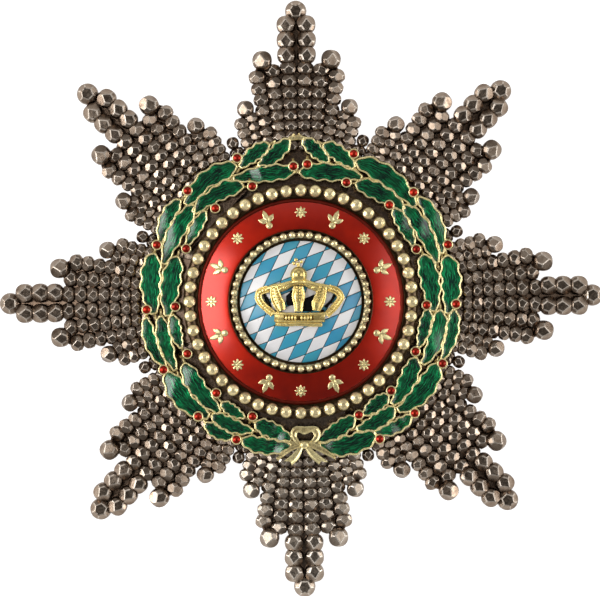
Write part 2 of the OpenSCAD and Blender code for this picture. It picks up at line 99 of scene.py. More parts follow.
class Part:
    """Faces gathered into one mesh, each lot with its own material and shading.

    place takes a lot's points from the plan that they are drawn in to the star.
    """

    def __init__(self, place=on_medallion):
        self.place, self.count = place, 0
        self.points, self.faces, self.slots, self.smooth, self.uvs, self.grime = [], [], [], [], [], []

    # grime darkens the finishes' colour: some grime, and painted shade in hollows, on lower sides and
    # between parts
    def add(self, points, faces, slot=0, smooth=True, uv=None, grime=0):
        points = self.place(points)
        self.points.append(points)
        self.grime.append(np.broadcast_to(grime, len(points)))
        self.faces += [tuple(int(i) + self.count for i in f) for f in faces]
        self.slots += np.broadcast_to(slot, len(faces)).tolist()
        self.smooth += np.broadcast_to(smooth, len(faces)).tolist()
        self.uvs.append(np.zeros((len(points), 2)) if uv is None else np.asarray(uv, float))
        self.count += len(points)

    def build(self, name, materials, slot, *replaced):
        mesh = bpy.data.meshes.new(name)
        mesh.from_pydata((np.vstack(self.points) * MM).tolist(), [], self.faces)
        mesh.polygons.foreach_set("material_index", self.slots)
        mesh.polygons.foreach_set("use_smooth", self.smooth)
        corner = [i for face in self.faces for i in face]
        layer = mesh.uv_layers.new(name="UVMap")
        layer.data.foreach_set("uv", np.vstack(self.uvs)[corner].astype(np.float32).ravel())
        # The grime value goes to the finishes: painted shade where light falls less, and grime
        dirt_and_painted_shade = mesh.attributes.new("grime", "FLOAT", "POINT")
        dirt_and_painted_shade.data.foreach_set("value", np.concatenate(self.grime).astype(np.float32))
        for m in materials:
            mesh.materials.append(m)
        mesh.update()
        piece = shown(name, mesh)
        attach(piece, "root")
        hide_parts(*replaced)


def around(count):
    """Angles evenly round a circle."""
    return np.linspace(0, 2 * pi, count, endpoint=False)


def oval(count, wide, deep, x=0, y=0):
    """Plan points round an oval with those half axes and that middle."""
    turn = around(count)
    return np.column_stack([x + wide * np.cos(turn), y + deep * np.sin(turn)])


def at_height(flat, z):
    return np.column_stack([flat, np.full(len(flat), z)])


def unit(vectors):
    return vectors / np.linalg.norm(vectors, axis=-1, keepdims=True)


def left_of(way):
    return np.column_stack([-way[:, 1], way[:, 0]])


def mixed(a, b, t):
    return a + (b - a) * t


def spaced(values, count):
    """Values given evenly along a line, read off at that many even steps."""
    values = np.atleast_1d(values)
    return np.interp(np.linspace(0, 1, count), np.linspace(0, 1, len(values)), values)


def grid_faces(rows, columns, wrap_rows=False, wrap_columns=False):
    """Quads of a grid of points, row after row."""
    faces = []
    for i in range(rows if wrap_rows else rows - 1):
        for j in range(columns if wrap_columns else columns - 1):
            row, after, right = i * columns, (i + 1) % rows * columns, (j + 1) % columns
            faces.append((row + j, row + right, after + right, after + j))
    return faces


def lathe(profile, steps=192):
    """A profile of (radius, height) turned about the Z axis."""
    points = [(r * cos(a), r * sin(a), z) for a in around(steps) for r, z in profile]
    return np.array(points), grid_faces(steps, len(profile), wrap_rows=True)


def sweep(path, width, height, closed=False, sides=8, up=None, squareness=1):
    """A bar of rounded section along a path; width, height and up may change along it."""
    path = np.asarray(path, float)
    n = len(path)
    width, height = np.broadcast_to(width, n), np.broadcast_to(height, n)
    if closed:
        way = np.roll(path, -1, 0) - np.roll(path, 1, 0)
    else:
        way = np.gradient(path, axis=0)
    way = unit(way)
    up = np.tile((0, 0, 1), (n, 1)) if up is None else np.asarray(up, float)
    across = unit(np.cross(way, up))
    lift = np.cross(across, way)
    turn = around(sides)
    x, y = (np.sign(share) * np.abs(share) ** squareness for share in (np.cos(turn), np.sin(turn)))
    ring = (path[:, None] + across[:, None] * (width[:, None] / 2 * x)[:, :, None]
            + lift[:, None] * (height[:, None] / 2 * y)[:, :, None])
    faces = grid_faces(n, sides, wrap_rows=closed, wrap_columns=True)
    if not closed:
        faces.append(tuple(range(sides)))
        faces.append(tuple(range(n * sides - 1, (n - 1) * sides - 1, -1)))
    return ring.reshape(-1, 3), faces


def slab(outline, low, high, round_off):
    """A flat plate with softened edges: outline is [x, y] points, counterclockwise."""
    flat = np.asarray(outline, float)
    way = np.roll(flat, -1, 0) - np.roll(flat, 1, 0)
    way /= np.linalg.norm(way, axis=1)[:, None] + 1e-9
    inner = flat + left_of(way) * round_off
    rings = [(inner, low), (flat, low + round_off), (flat, high - round_off), (inner, high)]
    points = np.vstack([at_height(ring, z) for ring, z in rings])
    n = len(flat)
    faces = grid_faces(4, n, wrap_columns=True)
    return points, faces + [tuple(range(n - 1, -1, -1)), tuple(range(3 * n, 4 * n))]


# Beads: a ball with flat facets cut on its face, and narrow worn edges between the facets
# EDGE faces take a lighter finish: wear and a painted highlight along the ridges
BODY, EDGE = 0, 1
NEIGHBOURS = radians(75)  # facets at a smaller angle than this share a worn edge


def cut_ball(facets, fineness, wear, base=-0.55, fullness=2):
    """A unit ball cut by planes: facets are (direction, tilt, distance), in degrees and radii.

    Where two facets meet, a narrow worn strip is cut too. A fullness over 2 makes the ball's plan squarer.
    """
    ball = bmesh.new()
    bmesh.ops.create_icosphere(ball, subdivisions=fineness, radius=1)
    for v in ball.verts:
        flat = hypot(v.co.x, v.co.y)
        if flat > 1e-6:
            share = ((abs(v.co.x) / flat) ** fullness + (abs(v.co.y) / flat) ** fullness) ** (-1 / fullness)
            v.co.x *= share
            v.co.y *= share
    planes = []
    for direction, tilt, distance in facets:
        a, b = radians(direction), radians(tilt)
        normal = Vector((cos(a) * sin(b), sin(a) * sin(b), cos(b)))
        planes.append((normal, distance, BODY))
    for (n1, d1, _), (n2, d2, _) in combinations(tuple(planes), 2):
        if n1.angle(n2) < NEIGHBOURS:
            between = n1 + n2
            planes.append((between.normalized(), (d1 + d2) / between.length - wear, EDGE))
    for normal, distance, _ in [*planes, (Vector((0, 0, -1)), -base, BODY)]:
        whole = [*ball.verts, *ball.edges, *ball.faces]
        bmesh.ops.bisect_plane(ball, geom=whole, plane_co=normal * distance, plane_no=normal,
                               clear_outer=True, dist=1e-5)
        bmesh.ops.holes_fill(ball, edges=[e for e in ball.edges if e.is_boundary], sides=0)
    bmesh.ops.recalc_face_normals(ball, faces=ball.faces)
    ball.verts.index_update()
    ball.normal_update()
    points = np.array([v.co for v in ball.verts])
    faces, slots, smooth = [], [], []
    for f in ball.faces:
        middle = f.calc_center_median()
        on = [kind for n, d, kind in planes if f.normal.dot(n) > 0.9995 and abs(middle.dot(n) - d) < 1e-3]
        faces.append(tuple(v.index for v in f.verts))
        slots.append(on[0] if on else BODY)
        smooth.append(not on)
    ball.free()
    return points, faces, slots, smooth


def add_ball(part, ball, centre, radius, turn=0, stretch=(1, 1, 1), lean=0):
    """Adds a cut ball of that radius, turned and then leaning sideways; its lower half is darker, painted
    shade with some grime.
    """
    points, faces, slots, smooth = ball
    # painted shade: darker towards the ball's lower side
    grime = np.clip(0.9 - 1.3 * points[:, 2], 0, 1)
    c, s = cos(lean), sin(lean)
    leaning = turned(points, turn) @ np.array([[1, 0, 0], [0, c, -s], [0, s, c]])
    part.add(leaning * radius * stretch + centre, faces, slots, smooth, grime=grime)


def even(count, tilt, distance, start=0):
    """Facets evenly round the top."""
    return [(start + 360 * i / count, tilt, distance) for i in range(count)]


# Direction 0 is outwards along a ray and 180 towards the star's middle
SMALL_CUTS = [
    [(180, 8, 0.82), (58, 40, 0.84), (-58, 40, 0.84), (122, 41, 0.94), (-122, 41, 0.94)],
    [(180, 13, 0.82), (50, 37, 0.85), (-64, 40, 0.84), (118, 43, 0.94), (-124, 39, 0.93)],
    [(170, 6, 0.82), (64, 39, 0.85), (-52, 42, 0.84), (126, 40, 0.93), (-116, 43, 0.94)],
    [(180, 18, 0.82), (60, 33, 0.84), (-60, 33, 0.84), (125, 44, 0.95), (-125, 44, 0.95)],
]
LARGE_CUTS = [(180, 7, 0.8), (58, 44, 0.82), (-58, 44, 0.82), (125, 41, 0.955), (-125, 41, 0.955)]
SMALL_BALLS = [cut_ball(cuts, 2, 0.018, fullness=2.5) for cuts in SMALL_CUTS]
LARGE_BALL = cut_ball(LARGE_CUTS, 3, 0.026, fullness=2.3)
TIP_BALL = cut_ball([(180, 8, 0.84), *even(6, 49, 0.92, 0)], 3, 0.024, base=-1)
TIP_SHAPE = (1.05, 1.05, 1)
LEAN = radians(2.6)
# Spread of the balls' turn and lean, and of the small beads' turn, lean, place and size
BALL_TURN, BALL_LEAN = 0.12, 0.03
BEAD_TURN, BEAD_LEAN, BEAD_SHIFT, BEAD_SMALLEST = 0.16, 0.09, 0.025, 0.97

# Balls of half a ray: distance from the middle, sideways, height, radius
BALLS = [
    (40.15, 1.44, 0.5, 1.4),
    (37.9, 1.46, 0.5, 1.4),
    (35.75, 1.44, 0.5, 1.38),
    (35, 4.96, 0.55, 1.43),
    (28, 7.49, 0.36, 1.24),
]
# Strands of half a ray: outer distance, sideways, radius; the same for the inner bead; count; height
STRANDS = [
    (33.85, 1.22, 1, 22.5, 0.82, 0.74, 8, 0.3),
    (33.5, 3.5, 0.98, 22.5, 2.52, 0.76, 8, 0.2),
    (32.6, 5.75, 1, 21.9, 4.09, 0.76, 8, 0.1),
    (26.8, 6.6, 0.83, 21.6, 5.56, 0.7, 5, 0),
    (25.8, 8.05, 0.92, 21.9, 7, 0.78, 4, 0.05),
]
BEAD_SHAPE = (1.1, 1.29, 1.03)
# Outline of half a ray's plate, from its root to its tip: distance and sideways
PLATE_HALF = [
    (15.6, 5.9), (22, 7.3), (23.4, 8), (27.6, 8.2), (28.6, 7.4), (27.4, 6.2), (28, 5.6),
    (32.8, 6.5), (34.7, 5.5), (34.7, 4.4), (33.6, 3.2), (34.2, 2), (40, 2), (42, 0.8),
]


def make_ray(name, silver):
    direction, away = RAYS[name]
    slack = SLACK.get(name, 0)
    part = Part(lambda points: on_ray(points, direction, away))
    outline = [*PLATE_HALF, *[(x, -y) for x, y in reversed(PLATE_HALF)]]
    # the plate is darkened almost fully: painted shade in the gaps between the strands
    part.add(*slab(outline[::-1], PLATE_TOP - PLATE_T, PLATE_TOP, 0.1), smooth=False, grime=0.97)
    add_ball(part, TIP_BALL, (TIP_REACH - 0.07, 0, 0), TIP_BALL_R, stretch=TIP_SHAPE)
    for side in (1, -1):
        for along, across, height, radius in BALLS:
            turn = RNG.normal(0, BALL_TURN)
            lean = LEAN * across * side + RNG.normal(0, BALL_LEAN)
            add_ball(part, LARGE_BALL, (along - slack, across * side, height), radius, turn, lean=lean)
        for u0, v0, r0, u1, v1, r1, count, height in STRANDS:
            share = (r1 / r0) ** (1 / (count - 1))
            for i in range(count):
                t = (1 - share ** i) / (1 - share ** (count - 1))
                spot = (mixed(u0, u1, t) - slack, mixed(v0, v1, t) * side, height)
                centre = np.array(spot) + RNG.normal(0, BEAD_SHIFT, 3)
                kind = SMALL_BALLS[RNG.integers(len(SMALL_BALLS))]
                radius = r0 * share ** i * RNG.uniform(BEAD_SMALLEST, 1)
                turn = RNG.normal(0, BEAD_TURN)
                lean = LEAN * centre[1] + RNG.normal(0, BEAD_LEAN)
                add_ball(part, kind, centre, radius, turn, BEAD_SHAPE, lean)
    part.build(name + "_beads", silver, "silver", name)


# Back: the dished plate with the short strands that stand in the valleys between the rays.
# Beads of one valley: distance from the middle, radius, sideways
VALLEY_BEADS = [(24.75, 0.9, 0), (23.3, 0.64, 0.44), (22.2, 0.6, 0.4), (21.1, 0.58, 0.38)]
VALLEY_BAR = [(20.4, -0.55), (24.3, -0.55), (24.3, 0.55), (20.4, 0.55)]
BACK_R = 22.4
BACK_T = 0.7
BACK_FLAT_R = 15.5
BACK_RIM_R = 20.6
BACK_TOP = HUB_Z - (PLATE_T - PLATE_TOP + 0.12) / cos(VAULT)
BACK_FLAT_TOP = BACK_TOP - BACK_FLAT_R * tan(VAULT)
BACK_RIM_TOP = BACK_TOP - BACK_R * tan(VAULT)


def make_back(silver):
    part = Part(on_star)
    low, rim = BACK_FLAT_TOP - BACK_T, BACK_RIM_TOP - BACK_T
    inner = BACK_TOP - BACK_T - BACK_RIM_R * tan(VAULT)
    profile = [
        (0.01, low), (7, low), (14.9, low), (BACK_FLAT_R, low - 0.03), (BACK_RIM_R - 0.1, inner + 0.01),
        (BACK_RIM_R, inner - 0.03), (BACK_RIM_R + 0.02, rim + 0.05), (BACK_RIM_R + 0.1, rim),
        (BACK_R - 0.12, rim), (BACK_R, rim + 0.12), (BACK_R, BACK_RIM_TOP - 0.1),
        (BACK_R - 0.12, BACK_RIM_TOP), (BACK_FLAT_R, BACK_FLAT_TOP), (0.01, BACK_FLAT_TOP),
    ]
    part.add(*lathe(profile[::-1]), grime=0.35)
    directions = [direction for direction, _ in RAYS.values()]
    for here, after in zip(directions, [*directions[1:], directions[0] + 360]):
        valley = (here + after) / 2
        part.place = lambda points, valley=valley: on_ray(points, valley, 0)
        # the bar under a valley's beads is dark: painted shade between the beads
        part.add(*slab(VALLEY_BAR, -1.3, -0.2, 0.08), smooth=False, grime=0.9)
        for along, radius, across in VALLEY_BEADS:
            for side in (1, -1) if across else (1,):
                ball = SMALL_BALLS[RNG.integers(3)] if across else LARGE_BALL
                add_ball(part, ball, (along, across * side, -0.1), radius, RNG.normal(0, 0.2))
    part.build("back_with_valley_strands", silver, "silver", "back_plate")


# Medallion levels and radii, as the frame has them but for the bead rings and the red ring's outer edge,
# which follow the photo
FLANGE_TOP = 6.05
RING_BEADS = 48
# Bead rings: radius of the ring and of a bead, height of the beads, the strip's inner, outer, low and top
OUTER_RING = (16, 0.93, 6.6, (15.42, 16.6, FLANGE_TOP, 6.35))
INNER_RING = (9.64, 0.58, 7, (9.14, 9.94, FLANGE_TOP, 6.95))
RED_INNER_R, RED_OUTER_R = 10.33, 14.92
RED_EDGE_Z, RED_RISE = 6.6, 0.75
RED_CREST_R = 10.4
RED_EDGE_R = 14.35  # the clear enamel ends here, and a dark sloping edge goes on to the ring's rim; its dark colour is painted shade beside the outer beads
RED_RIM_Z = 6.42
RED_TOP = RED_EDGE_Z + RED_RISE
CENTRE_R, DOME_R, DOME_EDGE_Z = 8.85, 20, 6.5
DOME_TOP = DOME_EDGE_Z + DOME_R - sqrt(DOME_R ** 2 - CENTRE_R ** 2)


def red_height(r):
    """The ring's crest is near its inner edge, and its long slope falls outwards."""
    outwards = (r - RED_CREST_R) / (RED_EDGE_R - RED_CREST_R)
    inwards = (RED_CREST_R - r) / (RED_CREST_R - RED_INNER_R)
    fall = np.where(r > RED_CREST_R, np.maximum(outwards, 0) ** 1.17, 0.05 * inwards ** 2)
    return RED_TOP - RED_RISE * np.minimum(fall, 1)


def over_dome(x, y, height):
    """Height above the floor of a point that stands that high over the enamel dome."""
    return DOME_TOP - DOME_R + np.sqrt(np.maximum(0, (DOME_R + height) ** 2 - x * x - y * y))


def make_bead_ring(name, sizes, fineness, node, dirt_and_painted_shade):
    part = Part()
    ring_r, bead_r, bead_z, (inner, outer, low, top) = sizes
    profile = [(outer, low), (outer, top - 0.06), (outer - 0.06, top),
               (inner + 0.06, top), (inner, top - 0.06), (inner, low)]
    # the strip under the beads is darkened: painted shade between the beads, with some grime
    part.add(*lathe(profile), grime=dirt_and_painted_shade)
    balls = [cut_ball([(0, 0, 0.95), *even(n, 44, 0.95, 30 * n)], fineness, 0.01) for n in (3, 4, 5)]
    for i in range(RING_BEADS):
        a = 2 * pi * i / RING_BEADS
        centre = (ring_r * cos(a), ring_r * sin(a), bead_z)
        ball = balls[RNG.integers(3)]
        add_ball(part, ball, centre, bead_r * RNG.uniform(0.975, 1), RNG.uniform(0, 6))
    part.build(name, BEAD_GOLD, "gilt", node)


def make_red_ring(enamel, gilt, edge):
    part = Part()
    r = np.linspace(RED_EDGE_R, RED_INNER_R, 33)
    part.add(*lathe([(RED_EDGE_R, FLANGE_TOP), *zip(r, red_height(r)), (RED_INNER_R, FLANGE_TOP)], 256))
    # the dark sloping edge: painted shade beside the outer beads; the rims below are darkened too
    slope = [(RED_OUTER_R, FLANGE_TOP), (RED_OUTER_R, RED_RIM_Z), (RED_EDGE_R + 0.3, RED_EDGE_Z - 0.04),
             (RED_EDGE_R - 0.03, RED_EDGE_Z), (RED_EDGE_R - 0.03, FLANGE_TOP)]
    part.add(*lathe(slope, 256), 2)
    for rim, z in ((RED_OUTER_R + 0.03, RED_RIM_Z), (RED_INNER_R, RED_TOP - 0.05)):
        part.add(*sweep(at_height(oval(192, rim, rim), z), 0.2, 0.26, closed=True), 1, grime=0.7)
    part.build("red_ring", [enamel, gilt, edge], "red_enamel", "red_enamel_ring")


def pillow(outline, base, height, rings=((1, 0), (1, 0.6), (0.93, 0.9), (0.75, 1), (0.4, 1))):
    """A low raised form over a flat outline: rings are (share of its size, share of the height)."""
    flat = np.asarray(outline, float)
    middle = flat.mean(0)
    levels = []
    for share, lift in rings:
        spot = middle + (flat - middle) * share
        levels.append(np.column_stack([spot, base(*spot.T) + lift * height]))
    n = len(flat)
    faces = grid_faces(len(rings), n, wrap_columns=True)
    return np.vstack(levels), faces + [tuple(range((len(rings) - 1) * n, len(rings) * n))]


ORNAMENTS = 16
ORNAMENT_R = 12.85
ORNAMENT_H = 0.26
SPRIG_SIZE = 1.35


def small_leaf(length, width, turn):
    """A pointed leaf of a sprig, from the sprig's foot."""
    shape = [(0, 0), (width / 2, 0.4), (width * 0.4, 0.7), (0, 1), (-width * 0.4, 0.7), (-width / 2, 0.4)]
    flat = turned([(x, y * length, 0) for x, y in shape], radians(turn))[:, :2]
    return (flat + (0, -0.45)) * SPRIG_SIZE


def make_ornaments(gilt):
    part = Part()

    def on_ring(x, y):
        return red_height(np.hypot(x, y + ORNAMENT_R)) + 0.01

    def put(outline, angle, height=ORNAMENT_H, rings=((1, 0), (1, 0.5), (0.9, 0.95), (0.55, 1))):
        points, faces = pillow(outline, on_ring, height, rings)
        points[:, 1] += ORNAMENT_R
        part.add(turned(points, angle), faces, grime=0.15)

    drop = at_height(oval(20, 0.36, 0.17, 0.52), 0)
    for i in range(ORNAMENTS):
        angle = 2 * pi * i / ORNAMENTS
        if i % 2 == 0:
            for petal in range(8):
                put(turned(drop, petal * pi / 4)[:, :2], angle, 0.2)
            put(oval(20, 0.24, 0.24), angle, 0.3)
        else:
            put(small_leaf(1.5, 0.62, 0), angle)
            for side in (-1, 1):
                put(small_leaf(1.15, 0.55, 52 * side), angle)
            berry = oval(20, 0.36, 0.36, y=-0.75) * SPRIG_SIZE
            put(berry, angle, 0.3, ((1, 0), (1, 0.4), (0.85, 0.8), (0.5, 1)))
    part.build("ring_ornaments_gilt", [gilt], "gilt", "ring_ornaments")


# Lozenges of the dome: the lattice's corner and its two sides, measured over the dome
LOZENGE_AT = np.array([0.37, -3.85])
LOZENGE_A = np.array([2.61, 1.03])
LOZENGE_B = np.array([1.14, 2.48])
LOZENGE_SPAN = 7
WIRE_HALF = 0.05
TILE_H = 0.09
TILE_RINGS = ((1, 0), (1, 0.7), (0.97, 0.95), (0.85, 1), (0.5, 1), (0.2, 1))


def clipped(polygon, radius):
    """The part of a convex polygon that lies inside a circle of 72 sides."""
    for k in range(72):
        a = 2 * pi * (k + 0.5) / 72
        normal = np.array([cos(a), sin(a)])
        kept = []
        for p, q in zip(polygon, polygon[1:] + polygon[:1]):
            dp, dq = radius - p @ normal, radius - q @ normal
            if dp >= 0:
                kept.append(p)
            if dp * dq < 0:
                kept.append(p + (q - p) * dp / (dp - dq))
        polygon = kept
        if len(polygon) < 3:
            return []
    return polygon


def stepped(polygon, step=0.35):
    """The polygon with more points along its sides."""
    polygon, out = [np.array(p) for p in polygon], []
    for p, q in zip(polygon, polygon[1:] + polygon[:1]):
        count = max(1, int(np.linalg.norm(q - p) / step))
        out += [p + (q - p) * k / count for k in range(count)]
    return np.array(out)


def to_dome(flat):
    s = np.linalg.norm(flat, axis=1)
    return flat * (DOME_R * np.sin(s / DOME_R) / np.maximum(s, 1e-6))[:, None]


def shrunk_sides(corners, gap):
    """A parallelogram drawn in by the same gap on all four sides."""
    a, b = corners[1] - corners[0], corners[3] - corners[0]
    area = abs(a[0] * b[1] - a[1] * b[0])
    ea, eb = gap * np.linalg.norm(b) / area * a, gap * np.linalg.norm(a) / area * b
    return [corners[0] + ea + eb, corners[1] - ea + eb, corners[2] - ea - eb, corners[3] + ea - eb]


def make_dome(name, materials, slot, blue, node):
    part = Part()
    if not blue:
        r = np.linspace(CENTRE_R, 0.02, 40)
        part.add(*lathe([(CENTRE_R, FLANGE_TOP), *zip(r, over_dome(r, 0, 0))], 128), 1, grime=0.6)
    edge = DOME_R * asin((CENTRE_R - 0.12) / DOME_R)
    for i, j in product(range(-LOZENGE_SPAN, LOZENGE_SPAN + 1), repeat=2):
        low = LOZENGE_AT + i * LOZENGE_A + j * LOZENGE_B
        corners = [low, low + LOZENGE_A, low + LOZENGE_A + LOZENGE_B, low + LOZENGE_B]
        cell = clipped(shrunk_sides(corners, WIRE_HALF), edge)
        if cell and ((i + j) % 2 == 0) == blue:
            part.add(*pillow(to_dome(stepped(cell)), lambda x, y: over_dome(x, y, 0.01), TILE_H, TILE_RINGS))
    part.build(name, materials, slot, node)


# Crown: middle lines of its arches and mouldings, in the medallion's plan
SIDE_LINES = [
    [(-4.68, 1.82), (-5.84, 1.39), (-6.06, 0.52), (-5.55, -0.35), (-4.83, -1.07), (-3.96, -1.79)],
    [(3.99, 1.97), (5.14, 1.53), (5.72, 0.66), (5.29, -0.2), (4.57, -1.07), (3.7, -1.94)],
]
FRONT_LINES = [
    ([(-3.85, 2.2), (-3.58, 0.75), (-3.09, -0.35), (-2.75, -1.3)], (1.1, 1.6, 1.7, 1.1)),
    ([(-0.33, 2.2), (-0.33, 0.81), (-0.33, -0.2), (-0.33, -1.4)], (1.3, 2, 1.45, 1.1)),
    ([(3.2, 2.2), (2.8, 0.66), (2.4, -0.4), (2.25, -1.3)], (1.1, 1.7, 1.75, 1)),
]
TOP_LINE = [(-4.9, 1.8), (-3.67, 2.2), (-2.51, 2.33), (-1.36, 2.6), (-0.2, 2.75), (1.1, 2.6), (2.25, 2.3),
            (3.41, 2.15), (4.3, 1.9)]
CAP_LINES = [
    [(-1, 2.75), (-1.9, 2.15), (-2.75, 1.85), (-3.3, 1.55)],
    [(0.45, 2.75), (1.3, 2.2), (2.15, 1.9), (2.7, 1.5)],
]
# Mouldings: line, width, height, lift
MOULDINGS = [
    ([(-4.1, -1.6), (-2.95, -1.72), (-0.3, -1.8), (2.54, -1.76), (3.75, -1.7)], 0.45, 0.5, 0.72),
    ([(-3.7, -2.75), (-2.4, -2.82), (-0.3, -2.84), (2.1, -2.82), (3.25, -2.75)], 0.36, 0.4, 0.72),
    ([(-3.6, -3.2), (-1.94, -3.28), (-0.3, -3.2), (1.68, -3.32), (3.05, -3.3)], 0.6, 0.5, 0.58),
]
# The circlet and the channel that holds its pearls: line, steps, lift, width, height, sides, grime value
# (painted shade, darkest in the channel, and grime)
BANDS = [
    ([(-3.74, -2.2), (-2.4, -2.28), (-0.3, -2.32), (2.1, -2.28), (3.4, -2.2)], 50, 0.45, 1.5, 0.6, 10, 0.15),
    ([(-2.45, -2.28), (-0.3, -2.31), (1.85, -2.28)], 30, 0.68, 0.85, 0.3, 8, 1),
]
PEARLS = (-2.1, -1.66, -1.22, -0.78, 0.12, 0.56, 1, 1.44)
PEARL_SIZE = (0.18, 0.34, 0.22)
PEARL_Y = -2.31
# Dark sheets that fill the crown's openings: painted shade, in the gold_in_shadow finish
CROWN_SHADE_SHEETS = [
    [(-2.1, 0.8), (-2, -0.55), (-0.95, -0.55), (-0.8, 1.1), (-1.3, 1.6)],
    [(0.3, 0.3), (0.25, -1.4), (1.8, -1.4), (1.65, 0.2), (2.3, 1.2)],
    [(-5.5, 1.2), (-5, -0.1), (-4.4, -0.9), (-4.15, -0.7), (-4.6, 0.3), (-5.1, 1.15)],
    [(-4, -1.25), (-3.7, -1.75), (-3, -1.5), (-3.1, -1.2)],
    [(4.9, 1.2), (4.3, 0.3), (3.45, -0.6), (3.6, -0.95), (4.4, -0.2), (5.1, 0.9)],
    [(2.5, -1.1), (2.9, -1.8), (3.3, -1.75), (3.4, -1.15)],
]
ORB = (-0.3, 3.85)
ORB_R = 1.22
CROSS_BALLS = [(-0.4, 5.45, 0.26), (-1.02, 5.5, 0.26), (-0.68, 6, 0.27), (0.12, 5.72, 0.25),
               (-0.3, 5.1, 0.22)]


def smooth_line(points, count):
    """A smooth curve through the points, with that many steps."""
    points = np.asarray(points, float)
    padded = np.vstack([2 * points[0] - points[1], points, 2 * points[-1] - points[-2]])
    place = np.linspace(0, len(points) - 1, count)
    i = np.minimum(place.astype(int), len(points) - 2)
    t = (place - i)[:, None]
    a, b, c, d = padded[i], padded[i + 1], padded[i + 2], padded[i + 3]
    bend, twist = 2 * a - 5 * b + 4 * c - d, 3 * b - a - 3 * c + d
    return 0.5 * (2 * b + (c - a) * t + bend * t ** 2 + twist * t ** 3)


def small_ball(fineness):
    ball = bmesh.new()
    bmesh.ops.create_icosphere(ball, subdivisions=fineness, radius=1)
    points = np.array([v.co for v in ball.verts])
    faces = [tuple(v.index for v in f.verts) for f in ball.faces]
    ball.free()
    return points, faces


def lifted(line, height):
    """Plan points laid over the dome at that height."""
    return np.column_stack([line, over_dome(*line.T, height)])


def dome_normals(path):
    return unit(path - (0, 0, DOME_TOP - DOME_R))


def beside(line, width, side):
    """The line's edge: every point moved sideways by nearly half the width there."""
    path = np.asarray(line, float)
    way = unit(np.gradient(path, axis=0))
    return path + left_of(way) * side * 0.42 * spaced(width, len(path))[:, None]


def make_crown(gold, shadow):
    part = Part()
    grain, pearl, orb = small_ball(1), small_ball(2), small_ball(4)

    def put_ball(ball, size, x, y, z, dirt_and_painted_shade=None):
        points, faces = ball
        # painted shade: a ball is darker towards its lower side
        dirt_and_painted_shade = np.clip(-points[:, 2], 0, 1) if dirt_and_painted_shade is None else dirt_and_painted_shade
        part.add(points * size + (x, y, z), faces, grime=dirt_and_painted_shade)

    def bar(line, width, height, lift, count=40, squareness=1, grime=0.3):
        path = lifted(smooth_line(line, count), lift)
        points, faces = sweep(path, spaced(width, count), height, False, 10, dome_normals(path), squareness)
        # painted shade: the bar's lower half is darker
        part.add(points, faces, grime=grime * (points[:, 2] < path[:, 2].repeat(10)))

    def grains(line, radius, lift, step, across=0):
        path = smooth_line(line, 200)
        run = np.concatenate([[0], np.cumsum(np.linalg.norm(np.diff(path, axis=0), axis=1))])
        side = left_of(unit(np.gradient(path, axis=0)))
        for s in np.arange(step / 2, run[-1], step):
            k = int(np.searchsorted(run, s))
            x, y = path[k] + side[k] * across
            put_ball(grain, radius, x, y, over_dome(x, y, lift))

    # painted shade: dark sheets in the openings
    for outline in CROWN_SHADE_SHEETS:
        part.add(*pillow(stepped(outline, 0.5), lambda x, y: over_dome(x, y, 0.2), 0.1), 1)
    for line in SIDE_LINES:
        width = (1, 1.05, 0.95, 0.9)
        bar(line, width, 0.6, 0.5, grime=0.5)
        for side in (-1, 1):
            bar(beside(line, width, side), 0.24, 0.28, 0.74, 50)
        grains(line, 0.19, 0.82, 0.42)
    for line, width in FRONT_LINES:
        bar(line, width, 0.6, 0.55, squareness=0.8, grime=0.55)
        for side in (-1, 1):
            bar(beside(line, width, side), 0.26, 0.3, 0.88, 50)
        for across in (-0.27, 0.27):
            grains(line[:-1], 0.2, 0.86, 0.44, across)
    bar(TOP_LINE, (0.7, 0.85, 0.95, 0.85, 0.7), 0.8, 0.55, 60)
    for line in CAP_LINES:
        bar(line, (0.6, 0.75, 0.9, 0.5), 0.75, 0.62)
        grains(line[1:3], 0.3, 0.85, 0.9)
    for line, count, lift, width, height, sides, dirt_and_painted_shade in BANDS:
        path = lifted(smooth_line(line, count), lift)
        part.add(*sweep(path, width, height, False, sides, dome_normals(path), 0.6), grime=dirt_and_painted_shade)
    for moulding in MOULDINGS:
        bar(*moulding, 50)
    for x in PEARLS:
        put_ball(pearl, PEARL_SIZE, x, PEARL_Y, over_dome(x, PEARL_Y, 0.84))
    put_ball(orb, ORB_R, *ORB, DOME_TOP + 0.3, 0.3)
    turn = around(48)
    for low, ring_r, wire in ((-1, 0.92, 0.5), (-0.62, 1.06, 0.18)):
        hub = np.array([ORB[0], ORB[1] + low, DOME_TOP + 0.3 - 0.12])
        ring = hub + np.column_stack([ring_r * np.cos(turn), 0 * turn, 0.9 * ring_r * np.sin(turn)])
        ring[:, 2] = np.maximum(ring[:, 2], over_dome(ring[:, 0], ring[:, 1], 0.3))
        up = ring - hub
        up[:, 1] = 0
        up /= np.linalg.norm(up, axis=1)[:, None] + 1e-6
        part.add(*sweep(ring, wire, wire, closed=True, up=up))
    for x, y, radius in CROSS_BALLS:
        put_ball(orb, radius, x, y, over_dome(x, y, 0.55))
    part.build("crown_of_arches", [gold, shadow], "gilt", "crown")


# Wreath, laid out as the frame has it, on a thinner floor. Angles run clockwise from the top.
WREATH_Z, WREATH_H, WREATH_FLOOR = 5.35, 0.7, 0.2
WREATH_TOP = WREATH_Z + WREATH_H
COLLET_R, COLLET_H = 0.76, 0.85
